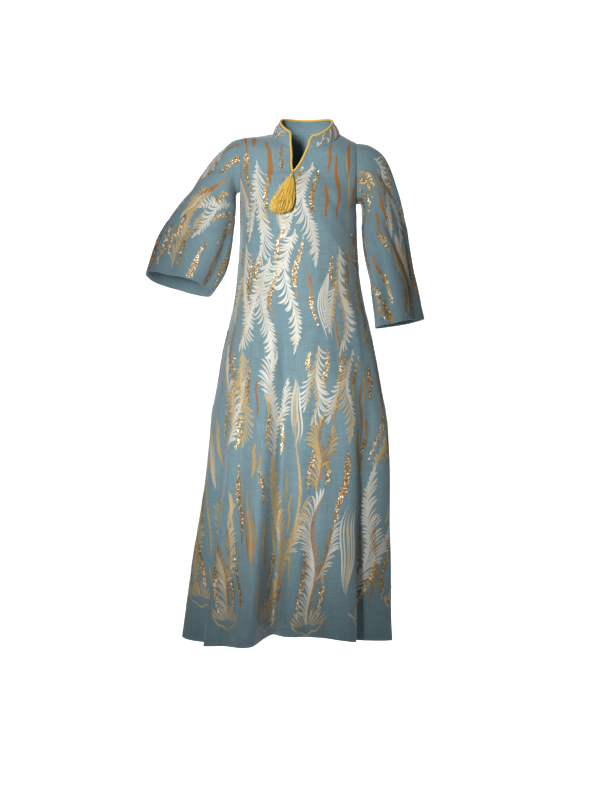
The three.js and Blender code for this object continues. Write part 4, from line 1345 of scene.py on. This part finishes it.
def hem_stitches(name, grids):
    """A row of short raised stitches where the folded hem is sewn."""
    threads = Threads()
    for grid in grids:
        points, normals = along_hem(grid.points, grid.hem), along_hem(grid.normals, grid.hem)
        along = lengths_along(points)
        starts = np.arange(STITCH_SPACE / 2, along[-1] - STITCH_SPACE, STITCH_SPACE)
        at = starts[:, None] + np.linspace(0, STITCH_LENGTH, 4)
        follow = lambda values: np.stack([np.interp(at, along, values[:, k]) for k in range(3)], -1)
        centre, normal = follow(points), unit(follow(normals))
        aside = np.cross(normal, unit(np.gradient(centre, axis=1)))
        lift = CLOTH_THICKNESS / 2 + np.array([0.0001, 0.0005, 0.0005, 0.0001])[:, None]
        rows = [centre + normal * (lift - 0.0005 * abs(w)) + aside * w * STITCH_HALF_WIDTH
                for w in (1, 0, -1)]
        uv = np.stack(np.broadcast_arrays(at[..., None], np.array([1, 0, -1]) * STITCH_HALF_WIDTH), -1)
        threads.add(np.stack(rows, 2), strip_faces(len(starts), 4), uv.reshape(-1, 2), 0.5)
    return threads.object(name)


# Materials
class Nodes:
    """A material's node tree, with short ways to add and join its nodes."""

    def __init__(self, name):
        self.material = bpy.data.materials.new(name)
        self.material.use_nodes = True
        self.tree = self.material.node_tree
        self.shader = self.tree.nodes["Principled BSDF"]

    def add(self, kind, **settings):
        node = self.tree.nodes.new(kind)
        for key, value in settings.items():
            setattr(node, key, value)
        return node

    def join(self, source, target):
        self.tree.links.new(source, target)

    def maths(self, operation, first, second=0.0):
        node = self.add("ShaderNodeMath", operation=operation)
        for socket, value in zip(node.inputs, (first, second)):
            if isinstance(value, (int, float)):
                socket.default_value = value
            else:
                self.join(value, socket)
        return node.outputs[0]

    def stretched(self, across, along):
        """The flat cloth's coordinates, stretched by two scales."""
        mapping = self.add("ShaderNodeMapping")
        mapping.inputs["Scale"].default_value = (across, along, 1)
        self.join(self.add("ShaderNodeUVMap", uv_map="flat").outputs["UV"], mapping.inputs["Vector"])
        return mapping.outputs["Vector"]

    def noise(self, vector, scale, detail=2.0):
        node = self.add("ShaderNodeTexNoise")
        node.inputs["Scale"].default_value = scale
        node.inputs["Detail"].default_value = detail
        if vector is not None:
            self.join(vector, node.inputs["Vector"])
        return node.outputs["Fac"]

    def wave(self, vector, scale, direction, distortion=0.0):
        node = self.add("ShaderNodeTexWave", bands_direction=direction)
        node.inputs["Scale"].default_value = scale
        node.inputs["Distortion"].default_value = distortion
        self.join(vector, node.inputs["Vector"])
        return node.outputs["Fac"]

    def color(self, value, stops):
        """The base colour for each value, from a table of (place, linear colour)."""
        node = self.add("ShaderNodeValToRGB")
        elements = node.color_ramp.elements
        while len(elements) < len(stops):
            elements.new(0.5)
        for element, (place, color) in zip(elements, stops):
            element.position = place
            element.color = (*color, 1)
        self.join(value, node.inputs["Fac"])
        self.join(node.outputs["Color"], self.shader.inputs["Base Color"])

    def roughness(self, value, spread, least):
        rough = self.maths("ADD", self.maths("MULTIPLY", value, spread), least)
        self.join(rough, self.shader.inputs["Roughness"])

    def bump(self, height, strength, distance):
        node = self.add("ShaderNodeBump")
        node.inputs["Strength"].default_value = strength
        node.inputs["Distance"].default_value = distance
        self.join(height, node.inputs["Height"])
        self.join(node.outputs["Normal"], self.shader.inputs["Normal"])

    def set(self, **values):
        for key, value in values.items():
            self.shader.inputs[key.replace("_", " ")].default_value = value


TEAL_DARK = (0.105, 0.175, 0.200)
TEAL = (0.145, 0.232, 0.262)
TEAL_LIGHT = (0.200, 0.302, 0.335)
WEAVE_SCALE = 330  # gives threads about 1 mm apart
SLUB_STOPS = [(0.32, TEAL_DARK), (0.50, TEAL), (0.72, TEAL_LIGHT)]


def woven_cloth():
    """Slubby plain weave: thick and thin threads both ways over a fine grid."""
    n = Nodes("slubby_teal_weave")
    flat = n.stretched(1, 1)
    weft = n.noise(n.stretched(22, 420), 1.0, 3.0)
    warp = n.noise(n.stretched(360, 16), 1.0, 3.0)
    patches = n.noise(n.stretched(9, 5), 1.0, 2.0)
    both = n.maths("ADD", n.maths("MULTIPLY", weft, 0.42), n.maths("MULTIPLY", warp, 0.36))
    tone = n.maths("ADD", both, n.maths("MULTIPLY", patches, 0.22))
    n.color(tone, SLUB_STOPS)
    threads = n.maths("ADD", n.wave(flat, WEAVE_SCALE, "X"), n.wave(flat, WEAVE_SCALE, "Y"))
    height = n.maths("ADD", threads, n.maths("MULTIPLY", n.maths("ADD", weft, warp), 1.6))
    n.bump(height, 0.35, 0.00025)
    n.roughness(weft, 0.12, 0.76)
    n.set(Sheen_Weight=0.25, Sheen_Roughness=0.5, Specular_IOR_Level=0.25)
    return n.material


THREAD_STOPS = [
    (IVORY, (0.510, 0.496, 0.440)),
    (CHAMPAGNE, (0.395, 0.318, 0.182)),
    (GOLD, (0.450, 0.290, 0.088)),
    (BRONZE, (0.230, 0.135, 0.050)),
    (COPPER, (0.310, 0.128, 0.028)),
]
SEQUIN_STOPS = [
    # the pale stop mostly colours the sequins that stand for glints: painted highlights
    (IVORY, (0.780, 0.750, 0.660)),
    (CHAMPAGNE, (0.460, 0.380, 0.235)),
    (GOLD, (0.400, 0.260, 0.082)),
    (BRONZE, (0.230, 0.140, 0.055)),
    (COPPER, (0.330, 0.150, 0.048)),
]
CORD_STOPS = [
    (0.00, (0.440, 0.220, 0.016)),
    (0.50, (0.680, 0.425, 0.044)),
    (1.00, (0.830, 0.590, 0.105)),
]


def thread_tone(n, spread):
    """The tone of each thread, uneven from thread to thread and a little along it."""
    tone = n.add("ShaderNodeAttribute", attribute_name="tone").outputs["Fac"]
    uneven = n.maths("SUBTRACT", n.noise(n.stretched(60, 2400), 1, 2.0), 0.5)
    return n.maths("ADD", tone, n.maths("MULTIPLY", uneven, spread))


def satin_thread():
    """Shiny stitches that lie side by side along each strip."""
    n = Nodes("satin_stitch")
    n.color(thread_tone(n, 0.26), THREAD_STOPS)
    n.bump(n.noise(n.stretched(50, 2000), 1, 1.0), 0.5, 0.0003)
    n.roughness(n.noise(n.stretched(1, 1), 400), 0.2, 0.36)
    n.set(Sheen_Weight=0.15, Sheen_Roughness=0.4, Specular_IOR_Level=0.4)
    return n.material


def sequin_metal():
    """Thin metal foil, slightly uneven."""
    n = Nodes("sequin_foil")
    n.color(thread_tone(n, 0.08), SEQUIN_STOPS)
    n.roughness(n.noise(n.stretched(1, 1), 700), 0.2, 0.32)
    n.bump(n.noise(n.stretched(1, 1), 1500), 0.15, 0.0001)
    n.set(Metallic=0.35, Specular_IOR_Level=0.5)
    return n.material


def silky_cord(name, lines):
    """Soft lustrous yellow thread with fine filaments."""
    n = Nodes(name)
    n.color(thread_tone(n, 0.35), CORD_STOPS)
    n.bump(n.wave(n.stretched(lines, 6), 1, "DIAGONAL", 1.0), 0.4, 0.0002)
    n.roughness(n.noise(n.stretched(80, 3), 1), 0.25, 0.34)
    n.set(Sheen_Weight=0.35, Sheen_Roughness=0.35, Specular_IOR_Level=0.45)
    return n.material


def hem_thread():
    n = Nodes("sewing_thread")
    n.color(n.noise(n.stretched(1, 1), 500), [(0.3, TEAL_DARK), (0.7, TEAL)])
    n.bump(n.wave(n.stretched(1, 1), 900, "DIAGONAL"), 0.3, 0.0001)
    n.set(Roughness=0.6, Specular_IOR_Level=0.3)
    return n.material


def plain_floor():
    n = Nodes("pale_floor")
    n.color(n.noise(None, 3), [(0.3, (0.90, 0.90, 0.90)), (0.7, (0.92, 0.92, 0.92))])
    n.set(Roughness=0.8, Specular_IOR_Level=0.2)
    return n.material


# Stage, light and camera
FLOOR_LEVEL = -1.72
FLOOR_WIDTH = 5.0
FLOOR_FRONT = -1.2
SWEEP_START = 2.9  # where the floor starts to rise into the backdrop
SWEEP_RADIUS = 1.8
SWEEP_HEIGHT = 3.4
CAMERA_AT = (-0.016, -4.0, -0.6575)
LENS = 72


def backdrop():
    """A floor that rises behind the garment in one smooth sweep."""
    turn = np.linspace(0, 90, 24)
    y = np.concatenate([[FLOOR_FRONT], SWEEP_START + SWEEP_RADIUS * sind(turn)])
    z = np.concatenate([[0], SWEEP_RADIUS * (1 - cosd(turn))]) + FLOOR_LEVEL
    y, z = np.append(y, y[-1]), np.append(z, FLOOR_LEVEL + SWEEP_HEIGHT)
    x = np.array([-FLOOR_WIDTH / 2, FLOOR_WIDTH / 2])
    points = point(x[None, :], y[:, None], z[:, None]).reshape(-1, 3)
    faces = quads_of(len(y), 2)
    obj = new_object("backdrop", points, faces, np.zeros((faces.size, 2)))
    obj.data.materials.append(plain_floor())


# Soft boxes: where they hang, where they point, width, height, spread, power.
# All but the first light the backdrop.
LAMPS = table("x y z atX atY atZ wide tall spread power", """
-0.66 -2.60 -0.30 -0.05 0.0 -0.34 0.35 1.45  22 4.0
  0.0   2.6   0.7   0.0 1.2  -1.7  2.0  2.0 104  84
 -1.9   2.0   0.8  -0.3 4.7   0.2  1.8  1.8 150  66
  1.9   2.0   0.8   0.3 4.7   0.2  1.8  1.8 150  66
""")
WORLD_STRENGTH = 0.085


def lamps():
    for i, row in enumerate(zip(*LAMPS.values())):
        x, y, z, at_x, at_y, at_z, wide, tall, spread, power = row
        data = bpy.data.lights.new(f"softbox_{i}", "AREA")
        data.shape = "RECTANGLE"
        data.size, data.size_y = wide, tall
        data.spread = math.radians(spread)
        data.energy = power
        lamp = bpy.data.objects.new(f"softbox_{i}", data)
        lamp.location = (x, y, z)
        way = Vector((at_x - x, at_y - y, at_z - z))
        lamp.rotation_euler = way.to_track_quat("-Z", "Y").to_euler()
        bpy.context.scene.collection.objects.link(lamp)


def sky():
    world = bpy.data.worlds.new("studio")
    world.use_nodes = True
    world.node_tree.nodes["Background"].inputs["Color"].default_value = (1, 1, 1, 1)
    world.node_tree.nodes["Background"].inputs["Strength"].default_value = WORLD_STRENGTH
    bpy.context.scene.world = world


def camera():
    data = bpy.data.cameras.new("camera")
    data.lens = LENS
    obj = bpy.data.objects.new("camera", data)
    obj.location = CAMERA_AT
    obj.rotation_euler = (math.pi / 2, 0, 0)
    bpy.context.scene.collection.objects.link(obj)
    bpy.context.scene.camera = obj
    bpy.context.scene.view_settings.view_transform = "Standard"


def dress_up(obj, material, slot, *nodes):
    """Gives a piece its material and the body it rides on, and hides the imported parts that it stands for.
    The slot is not used.
    """
    obj.data.materials.append(material)
    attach(obj, "root")
    if nodes:
        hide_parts(*nodes)


def main():
    camera()
    sky()
    lamps()
    backdrop()
    grids = {
        "body_front": [body_grid("front", -1), body_grid("front", 1)],
        "body_back": [body_grid("back", 1), body_grid("back", -1)],
        "sleeve_right": [sleeve_grid("right")],
        "sleeve_left": [sleeve_grid("left")],
        "collar": [collar_grid()],
    }
    everything = [grid for several in grids.values() for grid in several]
    share_normals(everything)
    short = {"body_front": "front", "body_back": "back", "sleeve_right": "right", "sleeve_left": "left"}
    for name, key in short.items():
        for grid in grids[name]:
            crease(grid, CREASES[key])
    share_normals(everything)
    for grid in everything:
        dip_seams(grid)
    share_normals(everything)
    weave, sewing = woven_cloth(), hem_thread()
    threads_of = {"satin": satin_thread(), "foil": sequin_metal()}
    cloths = {}
    for name, several in grids.items():
        cloths[name] = cloth_object(name + "_cloth", several)
        dress_up(cloths[name], weave, "embroidered_cloth", name)
    trims = {name: [] for name in grids}
    for name, key in {**short, "collar": "collar"}.items():
        rng = np.random.default_rng(SEED + len(name) * 7 + len(key))
        for obj, material in embroider(key, Panel(*grids[name]), rng):
            dress_up(obj, threads_of[material], "embroidered_cloth")
            trims[name].append(obj)
    for name, key in short.items():
        stitching = hem_stitches("hem_stitches_" + key, grids[name])
        dress_up(stitching, sewing, "embroidered_cloth")
        trims[name].append(stitching)
    cord, foot = piping()
    dress_up(cord, silky_cord("twisted_cord_silk", 300), "yellow_cord", "neck_piping")
    threads = tassel(np.random.default_rng(SEED), foot)
    dress_up(threads, silky_cord("tassel_silk", 40), "yellow_cord", "tassel")


main()
